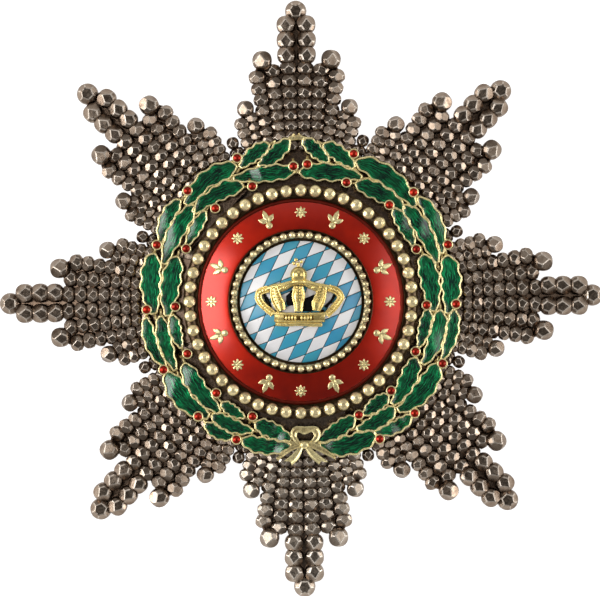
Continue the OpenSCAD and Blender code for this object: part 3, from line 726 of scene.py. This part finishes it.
# Leaves: root angle, root radius, middle radius, tip angle, tip radius, width
LEAVES = [
    (-176.5, 20.7, 21.4, -156.5, 21.5, 2.25), (-176.5, 19.9, 19, -159, 18.6, 2.25),
    (-154.5, 21.6, 22.3, -141.5, 22.1, 1.75), (-160, 19.8, 20.4, -141.5, 20.6, 2),
    (-154.5, 18.5, 18.5, -141.5, 18.4, 1.65), (-141.5, 21.1, 21.9, -117.5, 21.6, 2.75),
    (-144, 19.7, 19.4, -117.5, 18.9, 2.45), (-116.5, 21.5, 22.3, -95.5, 22.3, 1.8),
    (-119, 20.5, 20.4, -95.5, 20.2, 2), (-111.5, 18.4, 18.5, -95.5, 18.5, 1.75),
    (-95, 21.1, 21.75, -71.5, 22.2, 2.7), (-96.5, 19.2, 18.9, -69.5, 18.9, 2.6),
    (-67.5, 21.8, 22.7, -49.5, 22.6, 1.9), (-75, 20.4, 20.55, -47.5, 20.6, 2.3),
    (-64.5, 18.3, 18.4, -46, 18.9, 1.65), (-50, 21.5, 22, -25, 21.5, 2.65),
    (-50.5, 19.9, 19.8, -26, 18.4, 2.4), (-24.5, 21.1, 22.25, -11, 23.1, 2),
    (-17.5, 20.45, 21.4, -3.6, 23.5, 2.1), (-29, 20.2, 19.1, -2.2, 18.8, 2.25),
    (11.5, 20.45, 21.75, 0.6, 23.55, 1.95), (22, 20.7, 21.9, 7.8, 22.9, 2.1),
    (26.5, 19.9, 19.1, -1, 18.6, 2.4), (50.5, 21.4, 21.9, 21, 21.7, 2.65),
    (48.5, 19.9, 19.4, 24.5, 18.7, 2.4), (71.5, 21.4, 22.55, 48, 22.6, 1.9),
    (74.5, 20.4, 20.4, 46.5, 20.3, 2.25), (64, 18.1, 18.45, 44.5, 18.9, 1.9),
    (95, 21.25, 21.8, 72, 22, 2.65), (94.5, 19.2, 18.85, 68.5, 18.85, 2.65),
    (112.5, 22, 22.2, 92.5, 22.1, 1.8), (117.5, 19.7, 20.2, 93, 20.1, 2.25),
    (111.5, 18.2, 18.2, 93, 18.4, 1.8), (138.5, 21, 21.75, 114, 21.5, 2.65),
    (138.5, 19.9, 19.1, 115.5, 18.4, 2.4), (151, 21.6, 22.6, 135.5, 22.8, 1.8),
    (156.5, 20, 20.45, 138, 20.3, 2.1), (151.5, 18.6, 18.35, 136.5, 18.5, 2),
    (173.5, 21, 21.8, 150, 21.8, 2.65), (173.5, 20.2, 19.2, 154.5, 18.3, 2.15),
]
# Berries: angle, radius
BERRIES = [
    (-155, 21.9), (-138.2, 22.15), (-116.4, 22.05), (-93, 22.2), (-68.5, 22.25), (-45.6, 22.8),
    (-23.9, 22.6), (-157.2, 17.9), (-137.3, 17.9), (-114.7, 17.95), (-92.3, 18.05), (-65.2, 18.15),
    (-42.5, 18.2), (-22.8, 18), (-3.1, 19.5), (150.1, 22.8), (134.4, 22.95), (113.6, 22.25), (90.9, 22.35),
    (68.8, 22.7), (45.9, 22.6), (19.7, 22.6), (152.8, 18.3), (134.6, 18.25), (113.5, 18), (91.6, 18.1),
    (65.6, 18.25), (42.5, 18.85), (21, 18.35), (2.7, 19.8),
]
BERRY_R = 0.56
TWIG_W, LEAF_TWIG, BERRY_TWIG, WREATH_MID_R = 0.44, 0.9, 1.2, 20.4
TWIG_Z = WREATH_Z + 0.22
LEAF_WIDEST, LOBES, LOBE_DEPTH, LEAF_END_HALF = 0.52, 4.3, 0.12, 0.32
LEAF_FULL = 1.14
WIRE_W = 0.29
# Leaves that lean towards the light over part of their length: where along it, and how long a part. There
# the enamel is also painted lighter, a painted sheen
LEANING = {
    0: (0.25, 0.3), 1: (0.27, 0.2), 5: (0.9, 0.4), 6: (0.9, 0.35), 7: (0.05, 0.25), 8: (0.05, 0.4),
    9: (0.9, 0.3), 12: (0.3, 0.45), 13: (0.3, 0.5), 14: (0.3, 0.5), 19: (0.35, 0.25), 25: (0.45, 0.3),
    26: (0.5, 0.35), 27: (0.5, 0.35), 31: (0.5, 0.3), 35: (0.5, 0.3), 38: (0, 0.25),
}
# How far the enamel tilts there, how far it sinks, and over what width
LEAN_TILT, LEAN_SINK, LEAN_WIDTH = 0.26, 0.11, 0.8
TOP_TIE = [(-1.7, 23.1), (-0.3, 23.3), (0.7, 23.1), (0.7, 23.7), (-0.3, 23.95), (-1.7, 23.75)]
BOW_TIE = [(-1.9, -21.2), (2.9, -21.2), (2.9, -20), (-1.9, -20)]


def clock(angle, r):
    a = np.radians(angle)
    return np.stack([r * np.sin(a), r * np.cos(a)], -1)


def leaf_at(leaf, t):
    a0, r0, rm, a1, r1, _ = leaf
    r = r0 * (1 - t) * (1 - 2 * t) + 4 * rm * t * (1 - t) + r1 * t * (2 * t - 1)
    return clock(mixed(a0, a1, t), r)


def leaf_way(leaf, t):
    return unit(leaf_at(leaf, t + 0.001) - leaf_at(leaf, t - 0.001))


def leaf_half(leaf, t, side):
    """Half width of a leaf, with its lobes; side is 0 or 1."""
    rising = 0.36 + 0.64 * np.sin(pi / 2 * np.minimum(t / LEAF_WIDEST, 1))
    falling = np.sqrt(np.maximum(0, 1 - np.clip((t - LEAF_WIDEST) / (1 - LEAF_WIDEST), 0, 1) ** 3.2))
    full = np.where(t < LEAF_WIDEST, rising, falling)
    lobed = 1 + LOBE_DEPTH * np.cos(2 * pi * (LOBES * t + side * 0.45))
    return np.maximum(LEAF_END_HALF, full * leaf[5] / 2 * LEAF_FULL * lobed)


def leaf_edge(leaf, side, inset, steps):
    """One long edge of a leaf, drawn in by the inset, and where each of its points is along the leaf."""
    spare = inset / np.linalg.norm(leaf_at(leaf, 1) - leaf_at(leaf, 0))
    u = (1 - np.cos(pi * np.arange(steps + 1) / steps)) / 2
    t = mixed(spare, 1 - spare, u)
    out = (leaf_half(leaf, u, side) - inset) * (1 if side == 0 else -1)
    return leaf_at(leaf, t) + out[:, None] * left_of(leaf_way(leaf, t)), t


def leaf_outline(leaf, inset, steps=28):
    return np.vstack([leaf_edge(leaf, 0, inset, steps)[0][::-1], leaf_edge(leaf, 1, inset, steps)[0]])


def make_wreath(gilt):
    part = Part()
    for leaf in LEAVES:
        # the bed under a leaf is dark: painted shade between the leaves, with some grime
        bed = slab(leaf_outline(leaf, 0.04, 20), WREATH_Z, WREATH_Z + WREATH_FLOOR, 0.05)
        part.add(*bed, smooth=False, grime=0.8)
        edge = leaf_outline(leaf, WIRE_W / 2)
        step = np.arange(len(edge))
        path = at_height(edge, WREATH_TOP - 0.14)
        path[:, 2] += 0.03 * np.sin(step * 0.9)
        wide = WIRE_W * (1 + 0.1 * np.sin(step * 1.7 + leaf[0]))
        points, faces = sweep(path, wide, 0.44, closed=True)
        # painted shade: the wire's lower side is darker
        part.add(points, faces, grime=0.4 * (points[:, 2] < WREATH_TOP - 0.25))
        for end, sign in ((0, -1), (1, 1)):
            start, way = leaf_at(leaf, end), leaf_way(leaf, end) * sign
            line = np.array([start - way * 0.3, start + way * LEAF_TWIG * 0.5, start + way * LEAF_TWIG])
            part.add(*sweep(at_height(line, TWIG_Z), TWIG_W, 0.4), grime=0.5)
    top, cup = WREATH_Z + COLLET_H, WREATH_Z + 0.5
    profile = [(BERRY_R, cup), (BERRY_R, top), (0.6, top + 0.05), (0.68, top + 0.07),
               (COLLET_R - 0.02, top - 0.02), (COLLET_R, top - 0.15), (COLLET_R - 0.06, top - 0.24),
               (COLLET_R - 0.04, WREATH_Z + 0.04), (0.5, WREATH_Z)]
    for angle, r in BERRIES:
        spot = clock(angle, r)
        inward = np.array(spot) / r * (1 if r < WREATH_MID_R else -1)
        path = at_height([spot, spot + inward * BERRY_TWIG], TWIG_Z)
        part.add(*sweep(path, TWIG_W, 0.4), grime=0.5)
        points, faces = lathe(profile[::-1], 32)
        points[:, :2] += spot
        # painted shade: the collet's lower part is darker
        part.add(points, faces, grime=0.5 * (points[:, 2] < top - 0.2))
        part.add(at_height(oval(32, BERRY_R, BERRY_R, *spot), cup), [tuple(range(32))], grime=0.8)
    for outline in (TOP_TIE, BOW_TIE):
        part.add(*slab(stepped(outline, 0.4), WREATH_Z, WREATH_TOP, 0.1), smooth=False, grime=0.3)
    part.build("wreath_gilt", [gilt], "gilt", "wreath_frame")


def make_leaf_enamel(enamel):
    part = Part()
    along, across = 33, 13
    v = np.tile(np.linspace(-1, 1, across), along)
    for k, leaf in enumerate(LEAVES):
        (left, t), (right, _) = (leaf_edge(leaf, side, WIRE_W - 0.05, along - 1) for side in (0, 1))
        left, right, middle, t = (np.repeat(a, across, 0) for a in (left, right, leaf_at(leaf, t), t))
        flat = middle + (np.where(v[:, None] > 0, left, right) - middle) * np.abs(v)[:, None]
        spot, reach = LEANING.get(k, (-1, 0.1))
        facing = 1 if leaf[0] < 0 else -1
        lean = np.exp(-((t - spot) / reach) ** 2)
        swing = np.clip((flat[:, 0] - leaf_at(leaf, spot)[0] + 0.4 * v) / LEAN_WIDTH, -pi / 2, pi / 2)
        tilt = lean * (LEAN_TILT * facing * np.sin(swing) - LEAN_SINK)
        ends = 0.1 * (np.exp(-t * 9) + np.exp((t - 1) * 9))
        points = np.column_stack([flat, WREATH_TOP - 0.03 + tilt - 0.05 * v * v - ends])
        # darker towards the leaf's middle; where the leaf leans towards the light that darkening is taken
        # away, a painted sheen
        dark = (1 - v * v) * (0.3 + 0.7 * np.sin(pi * t)) * (1 - lean)
        part.add(points, grid_faces(along, across), uv=np.column_stack([t + 3.7 * k, v]), grime=dark)
    part.build("leaf_enamel_green", [enamel], "green_enamel", "leaf_enamel")


def make_berries(enamel):
    part = Part()
    ball, faces = small_ball(3)
    keep = [f for f in faces if ball[list(f)][:, 2].min() > -0.3]
    for angle, r in BERRIES:
        spot = (*clock(angle, r), WREATH_Z + COLLET_H - 0.06)
        part.add(ball * (BERRY_R, BERRY_R, 0.3) + spot, keep)
    part.build("berries_red", [enamel], "berry_enamel", "berries")


# Bow: edges of each ribbon in plan, from the knot outwards, and how deep the notch of its end is
BOW_Z = WREATH_TOP + 0.07
BOW_KNOT = (0.52, -20.6)
BOW_LOOP = (
    [(-0.2, -20.7), (-0.92, -20.14), (-1.36, -19.4), (-1.36, -18.55), (-0.78, -17.98), (0.73, -17.98),
     (2.25, -17.98), (2.83, -18.7), (2.76, -19.57), (2.25, -20.2), (1.1, -20.8)],
    [(-0.1, -20.3), (-0.35, -19.9), (-0.56, -19.42), (-0.5, -18.9), (-0.2, -18.8), (0.5, -19.12),
     (1.53, -18.77), (1.89, -19.1), (1.85, -19.5), (1.5, -20), (0.9, -20.4)],
)
BOW_LOOP_RISE = (0.3, 0.34, 0.42, 0.42, 0.34, 0.26, 0.34, 0.42, 0.42, 0.34, 0.3)
BOW_TAIL_RISE = (0.42, 0.34, 0.26)
BOW_TAILS = [
    ([(0.3, -20.75), (-1.6, -21.65), (-3.31, -22.9)], [(0, -20.4), (-1.8, -21.1), (-3.53, -22.53)], 0),
    ([(0.45, -20.8), (-0.3, -22.6), (-1.29, -23.6)], [(0.1, -20.6), (-1.1, -21.85), (-2.44, -22.96)], 0.45),
    ([(0.9, -20.6), (2.54, -22), (3.99, -23.1)], [(0.45, -20.8), (1.31, -22.3), (2.62, -23.4)], 0.4),
    ([(0.9, -20.5), (1.53, -20.25), (3.27, -20.95), (4.93, -22.24)],
     [(0.8, -20.7), (2.83, -21.66), (5.07, -22.74)], 0),
]


def ribbon(part, left, right, rise, shade, notch=0, along=28):
    """A ribbon between two edges, hollow between them; rise gives its height along it, and shade how dark
    its middle is painted, a painted shade.
    """
    across = 9
    a, b = smooth_line(left, along), smooth_line(right, along)
    rise = spaced(rise, along)
    top, low, dirt_and_painted_shade = [], [], []
    for v in np.linspace(0, 1, across):
        off = abs(2 * v - 1)
        reach = 1 - notch * (1 - off) * 0.35
        u = np.linspace(0, reach, along) * (along - 1)
        flat = np.column_stack([np.interp(u, np.arange(along), (a + (b - a) * v)[:, k]) for k in (0, 1)])
        hollow = 0.16 * off ** 3 - 0.08
        dirt_and_painted_shade.append(np.full(along, shade * (1 - off ** 2)))
        top.append(np.column_stack([flat, BOW_Z + rise + hollow]))
        low.append(np.column_stack([flat, BOW_Z + rise - 0.16]))
    rings = np.array([*top, *low[::-1]])
    # painted shade: the ribbon's underside is dark
    grime = np.concatenate([*dirt_and_painted_shade, np.full(along * across, 0.8)])
    ends = [[r * along + end for r in range(2 * across)] for end in (0, along - 1)]
    faces = grid_faces(2 * across, along, wrap_rows=True) + [ends[0][::-1], ends[1]]
    part.add(rings.reshape(-1, 3), faces, 0, [True] * (len(faces) - 2) + [False] * 2, grime=grime)


def make_bow(gold):
    part = Part()
    ribbon(part, *BOW_LOOP, BOW_LOOP_RISE, 0.5, along=90)
    for left, right, notch in BOW_TAILS:
        ribbon(part, left, right, BOW_TAIL_RISE, 0.05 if notch else 0.4, notch)
    part.add(*pillow(oval(28, 0.62, 0.5, *BOW_KNOT), lambda x, y: 0 * x + BOW_Z + 0.05, 0.75,
                     ((1, 0), (1.05, 0.4), (1, 0.7), (0.8, 0.92), (0.5, 1), (0.2, 1))))
    part.build("ribbon_bow_gilt", [gold], "gilt", "ribbon_bow")


PIN_REACH, PIN_Z = 13.5, 1.7
# Radius, and share of the reach
PIN_PROFILE = [(0.01, 1), (0.3, 0.99), (0.42, 0.94), (0.5, 0.8), (0.52, 0.4), (0.55, -0.9), (0.5, -0.98),
               (0.01, -1)]
PIN_POST = [(0.75, -0.9), (0.75, 0.9), (-0.75, 0.9), (-0.75, -0.9)]
PIN_FOOT_TOP = BACK_FLAT_TOP - BACK_T - 0.05
COIL_R, COIL_Z = 0.62, PIN_Z + 0.1


def make_pin(silver):
    """The straight brooch pin behind the plate, on two posts with feet, with three coils at each end."""
    part = Part(on_star)
    points, faces = lathe([(r, y * PIN_REACH) for r, y in PIN_PROFILE[::-1]], 24)
    part.add(points[:, [0, 2, 1]] * (1, 1, -1) + (0, 0, PIN_Z), faces, grime=0.1)
    turn = around(36)
    for end in (-PIN_REACH, PIN_REACH):
        foot = oval(36, 2.45, 1.55, y=end)
        # the feet and posts are darkened: painted shade behind the plate, with some grime
        part.add(*slab(foot, PIN_FOOT_TOP - 0.5, PIN_FOOT_TOP, 0.12), smooth=False, grime=0.4)
        post = np.array(PIN_POST) + (0, end)
        part.add(*slab(post, PIN_Z + 0.3, PIN_FOOT_TOP - 0.4, 0.1), smooth=False, grime=0.3)
        for y in (-COIL_R, 0, COIL_R):
            hub = (0, end + y, COIL_Z)
            coil = hub + np.column_stack([COIL_R * np.cos(turn), 0 * turn, COIL_R * np.sin(turn)])
            part.add(*sweep(coil, 0.56, 0.3, closed=True, up=unit(coil - hub)), EDGE, grime=0.2)
    part.build("brooch_pin_plain", silver, "silver", "brooch_pin")


# Finishes
class Finish:
    """A material made of shader nodes, with short calls for the nodes it needs."""

    def __init__(self, name, **constants):
        self.material = bpy.data.materials.new(name)
        self.material.use_nodes = True
        self.nodes, self.links = self.material.node_tree.nodes, self.material.node_tree.links
        self.shader = self.nodes["Principled BSDF"]
        for key, value in constants.items():
            self.shader.inputs[key.replace("_", " ")].default_value = value

    def node(self, kind, settings=None, **inputs):
        made = self.nodes.new("ShaderNode" + kind)
        for key, value in (settings or {}).items():
            setattr(made, key, value)
        for key, value in inputs.items():
            self.feed(made, key.replace("_", " "), value)
        return made

    def feed(self, node, key, value):
        socket = node.inputs[int(key[1:])] if key[0] == "i" and key[1:].isdigit() else node.inputs[key]
        if isinstance(value, bpy.types.NodeSocket):
            self.links.new(value, socket)
        else:
            socket.default_value = value

    def to_shader(self, **sockets):
        for key, value in sockets.items():
            self.feed(self.shader, key.replace("_", " "), value)
        return self.material

    def uneven(self, scale, low, high):
        """A roughness that varies over the surface."""
        return self.spread(self.noise(scale), 0.3, 0.7, low, high)

    def noise(self, scale, detail=3, where=None):
        where = where or self.node("TexCoord").outputs["Object"]
        return self.node("TexNoise", Vector=where, Scale=scale, Detail=detail).outputs["Fac"]

    # The mesh's grime value: painted shade in hollows and between parts, and grime
    def grime(self):
        return self.node("Attribute", {"attribute_name": "grime"}).outputs["Fac"]

    def spread(self, value, low, high, to_low=0, to_high=1):
        return self.node("MapRange", Value=value, i1=low, i2=high, i3=to_low, i4=to_high).outputs["Result"]

    def mix(self, factor, a, b):
        a, b = ((*c, 1) if isinstance(c, tuple) else c for c in (a, b))
        return self.node("Mix", {"data_type": "RGBA"}, i0=factor, i6=a, i7=b).outputs[2]

    def times(self, a, b):
        return self.node("Math", {"operation": "MULTIPLY"}, i0=a, i1=b).outputs[0]

    def plus(self, a, b):
        return self.node("Math", {"operation": "ADD", "use_clamp": True}, i0=a, i1=b).outputs[0]

    def bump(self, height, strength, distance):
        return self.node("Bump", Height=height, Strength=strength, Distance=distance).outputs["Normal"]


SCRATCHES = 2600  # scale of the metals' fine scratches


def metal(name, clean, dark, roughness, tarnish=0.5, bumpiness=0.2, metallic=1):
    """Worn metal with fine scratches and patches of tarnish, darker where the grime value is high: painted
    shade in its hollows, on lower sides and between parts, and grime.
    """
    f = Finish(name, Metallic=metallic)
    patches = f.spread(f.noise(900), 0.42, 0.68, 0, tarnish)
    hollow_grime_and_shade = f.times(f.grime(), 0.95)
    return f.to_shader(Base_Color=f.mix(f.plus(patches, hollow_grime_and_shade), clean, dark),
                       Roughness=f.uneven(SCRATCHES, roughness * 0.75, roughness * 1.35),
                       Normal=f.bump(f.noise(SCRATCHES, 5), bumpiness, 0.00002))


def ring_enamel(name, deep, bright, gloss=1):
    """Clear enamel over engraved metal, with its own smooth skin."""
    f = Finish(name, Metallic=1, Coat_Weight=gloss, Coat_Roughness=0.16, Coat_IOR=1.45)
    cloud = f.spread(f.noise(260), 0.3, 0.7)
    return f.to_shader(Base_Color=f.mix(cloud, deep, bright), Roughness=f.uneven(700, 0.3, 0.37),
                       Normal=f.bump(f.noise(1500, 2), 0.08, 0.00003))


def leaf_finish(name, deep, bright):
    """Clear green enamel over leaves engraved with lengthwise veins."""
    f = Finish(name, Metallic=0.95, Coat_Weight=1, Coat_Roughness=0.08, Coat_IOR=1.65)
    leaf_place = f.node("UVMap", {"uv_map": "UVMap"}).outputs["UV"]
    streaks = f.node("Mapping", Vector=leaf_place, Scale=(4, 4.5, 1)).outputs["Vector"]
    veins = f.noise(1.6, 4, streaks)
    patches = f.spread(f.noise(330, 2), 0.4, 0.65)
    tone = f.plus(f.times(f.spread(veins, 0.49, 0.59), 0.85), f.times(patches, 0.3))
    # the grime value darkens the green towards the leaf's middle, and less where the leaf leans: a painted
    # sheen
    tone = f.times(tone, f.spread(f.grime(), 0, 1, 1, 0.35))
    return f.to_shader(Base_Color=f.mix(tone, deep, bright), Roughness=f.uneven(1800, 0.3, 0.5),
                       Normal=f.bump(veins, 1, 0.00028), Coat_Normal=f.bump(veins, 0.33, 0.00007))


def opaque_enamel(name, main, second):
    """Opaque enamel with a soft change of colour, small pits and a glossy skin."""
    f = Finish(name, Coat_Weight=0.2, Coat_Roughness=0.1, Coat_IOR=1.5)
    tone = f.spread(f.noise(220), 0.35, 0.68)
    pits = f.spread(f.noise(4200, 4), 0.68, 0.78)
    clean = f.mix(tone, main, second)
    return f.to_shader(Base_Color=f.mix(f.times(pits, 0.5), clean, (0.1, 0.1, 0.1)), Roughness=0.3,
                       Normal=f.bump(f.noise(900, 2), 0.12, 0.00006))


# Each bead metal has the finish of its faces and that of its worn edges; the edges' lighter colour is wear
# and a painted highlight along the ridges
SILVER = [
    metal("silver", (0.285, 0.224, 0.172), (0.14, 0.096, 0.067), 0.24, tarnish=0.6),
    metal("silver_worn_edge_and_highlight", (0.62, 0.54, 0.46), (0.22, 0.17, 0.12), 0.38, metallic=0.85),
]
# A lighter copy of the silver: painted light on the bottom ray
PAINTED_LIGHT_SILVER = [
    metal("silver_painted_light", (0.35, 0.29, 0.23), (0.19, 0.14, 0.105), 0.26),
    metal("silver_painted_light_edge_and_highlight", (0.68, 0.61, 0.53), (0.27, 0.22, 0.17), 0.38, metallic=0.85),
]
BEAD_GOLD = [
    metal("bead_gold", (1, 0.83, 0.46), (0.1, 0.06, 0.03), 0.3, tarnish=0.4, metallic=0.74),
    metal("bead_gold_edge_and_highlight", (1, 0.88, 0.55), (0.5, 0.34, 0.16), 0.34, tarnish=0.2, metallic=0.6),
]
PALE_GOLD = metal("pale_gold", (1, 0.86, 0.44), (0.24, 0.14, 0.04), 0.26, tarnish=0.3, metallic=0.7)
# Gilt darkened nearly to black-brown: painted shade on the plate between the rings and wreath, and on the
# red ring's rims
SHADED_PLATE_GOLD = metal("plate_gold_painted_shade", (0.09, 0.055, 0.026), (0.04, 0.022, 0.01), 0.4, tarnish=0.8)
CROWN_GOLD = metal("crown_gold", (1, 0.79, 0.3), (0.16, 0.09, 0.015), 0.24, 0.35, 0.1, 0.8)
SHADOW_GOLD = metal("gold_in_shadow", (0.012, 0.012, 0.013), (0.01, 0.008, 0.006), 0.6)
CELL_WIRE = metal("cell_wire", (0.05, 0.05, 0.025), (0.02, 0.025, 0.015), 0.4, metallic=0.4)
RED = ring_enamel("red_enamel", (0.44, 0.011, 0.001), (0.58, 0.017, 0.001))
# Dark red-brown for the ring's sloping edge: painted shade
RED_EDGE = metal("enamel_edge_painted_shade", (0.15, 0.018, 0.01), (0.08, 0.012, 0.008), 0.45)
GREEN = leaf_finish("green_enamel", (0.0002, 0.013, 0.009), (0.004, 0.36, 0.11))
BLUE = opaque_enamel("blue_enamel", (0.036, 0.275, 0.47), (0.048, 0.335, 0.45))
WHITE = opaque_enamel("white_enamel", (0.84, 0.82, 0.81), (0.77, 0.76, 0.77))
BERRY = ring_enamel("berry_enamel", (0.22, 0.008, 0.001), (0.44, 0.018, 0.002), 0.4)

for ray in RAYS:
    # the bottom ray takes the lighter silver: painted light
    make_ray(ray, PAINTED_LIGHT_SILVER if ray == "ray_bottom" else SILVER)
make_back(SILVER)
make_pin(SILVER)
make_bead_ring("outer_beads", OUTER_RING, 3, "outer_bead_ring", 1)
make_bead_ring("inner_beads", INNER_RING, 2, "inner_bead_ring", 0.6)
make_red_ring(RED, SHADED_PLATE_GOLD, RED_EDGE)
make_ornaments(PALE_GOLD)
make_dome("white_cells", [WHITE, CELL_WIRE], "white_enamel", False, "centre_dome")
make_dome("blue_cells", [BLUE], "blue_enamel", True, "blue_lozenges")
make_crown(CROWN_GOLD, SHADOW_GOLD)
make_wreath(PALE_GOLD)
make_leaf_enamel(GREEN)
make_berries(BERRY)
make_bow(PALE_GOLD)
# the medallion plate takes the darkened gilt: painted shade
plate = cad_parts["medallion_plate"]
plate.data.materials.clear()
plate.data.materials.append(SHADED_PLATE_GOLD)


# Floor, lights and camera
def floor():
    mesh = bpy.data.meshes.new("floor")
    mesh.from_pydata([(-2, -2, 0), (2, -2, 0), (2, 2, 0), (-2, 2, 0)], [], [(0, 1, 2, 3)])
    f = Finish("white_board", Roughness=0.6, Emission_Color=(1, 1, 1, 1), Emission_Strength=0.97)
    f.to_shader(Base_Color=f.mix(f.noise(60), (0.3, 0.3, 0.3), (0.33, 0.33, 0.33)))
    mesh.materials.append(f.material)
    board = shown("floor", mesh)


def softbox(name, place, width, height, power):
    """A panel of light aimed at the star."""
    data = bpy.data.lights.new(name, "AREA")
    data.shape, data.size, data.size_y, data.energy = "RECTANGLE", width, height, power
    lamp = shown(name, data)
    lamp.location = place
    lamp.rotation_euler = (Vector() - Vector(place)).to_track_quat("-Z", "Y").to_euler()


def sky():
    """Light near the horizon and dark overhead, like a room round a copying stand."""
    world = bpy.data.worlds.new("room")
    world.use_nodes = True
    bpy.context.scene.world = world
    nodes, links = world.node_tree.nodes, world.node_tree.links
    place, split, ramp = (nodes.new("ShaderNode" + kind) for kind in ("TexCoord", "SeparateXYZ", "ValToRGB"))
    links.new(place.outputs["Generated"], split.inputs[0])
    links.new(split.outputs["Z"], ramp.inputs[0])
    stops = [(0, 0.64), (0.25, 0.43), (0.5, 0.28), (0.9, 0.14), (1, 0.085)]
    while len(ramp.color_ramp.elements) < len(stops):
        ramp.color_ramp.elements.new(0.5)
    for element, (at, level) in zip(ramp.color_ramp.elements, stops):
        element.position, element.color = at, (level, level, level, 1)
    links.new(ramp.outputs["Color"], nodes["Background"].inputs["Color"])


floor()
sky()
softbox("left_low_softbox", (-0.95, 0, 0.17), 0.85, 0.16, 5.3)
softbox("right_low_softbox", (0.95, 0, 0.17), 0.85, 0.16, 3.5)
softbox("left_high_panel", (-0.6, 0.03, 0.8), 0.44, 0.62, 4.4)
softbox("left_wide_panel", (-0.75, 0.03, 0.98), 1.3, 0.8, 0.8)
softbox("top_panel", (0, 0.65, 0.8), 0.6, 0.5, 0.7)
softbox("right_high_panel", (0.63, 0, 0.79), 0.6, 0.56, 2.2)

# The camera looks straight down at the star from 1.2 m
camera_data = bpy.data.cameras.new("camera")
camera_data.sensor_width, camera_data.lens = 36, 498
camera = shown("camera", camera_data)
camera.location = (-0.00019, 0.00011, 1.2)
camera.rotation_euler = (0, 0, radians(-1))
bpy.context.scene.camera = camera
bpy.context.scene.view_settings.view_transform = "Standard"
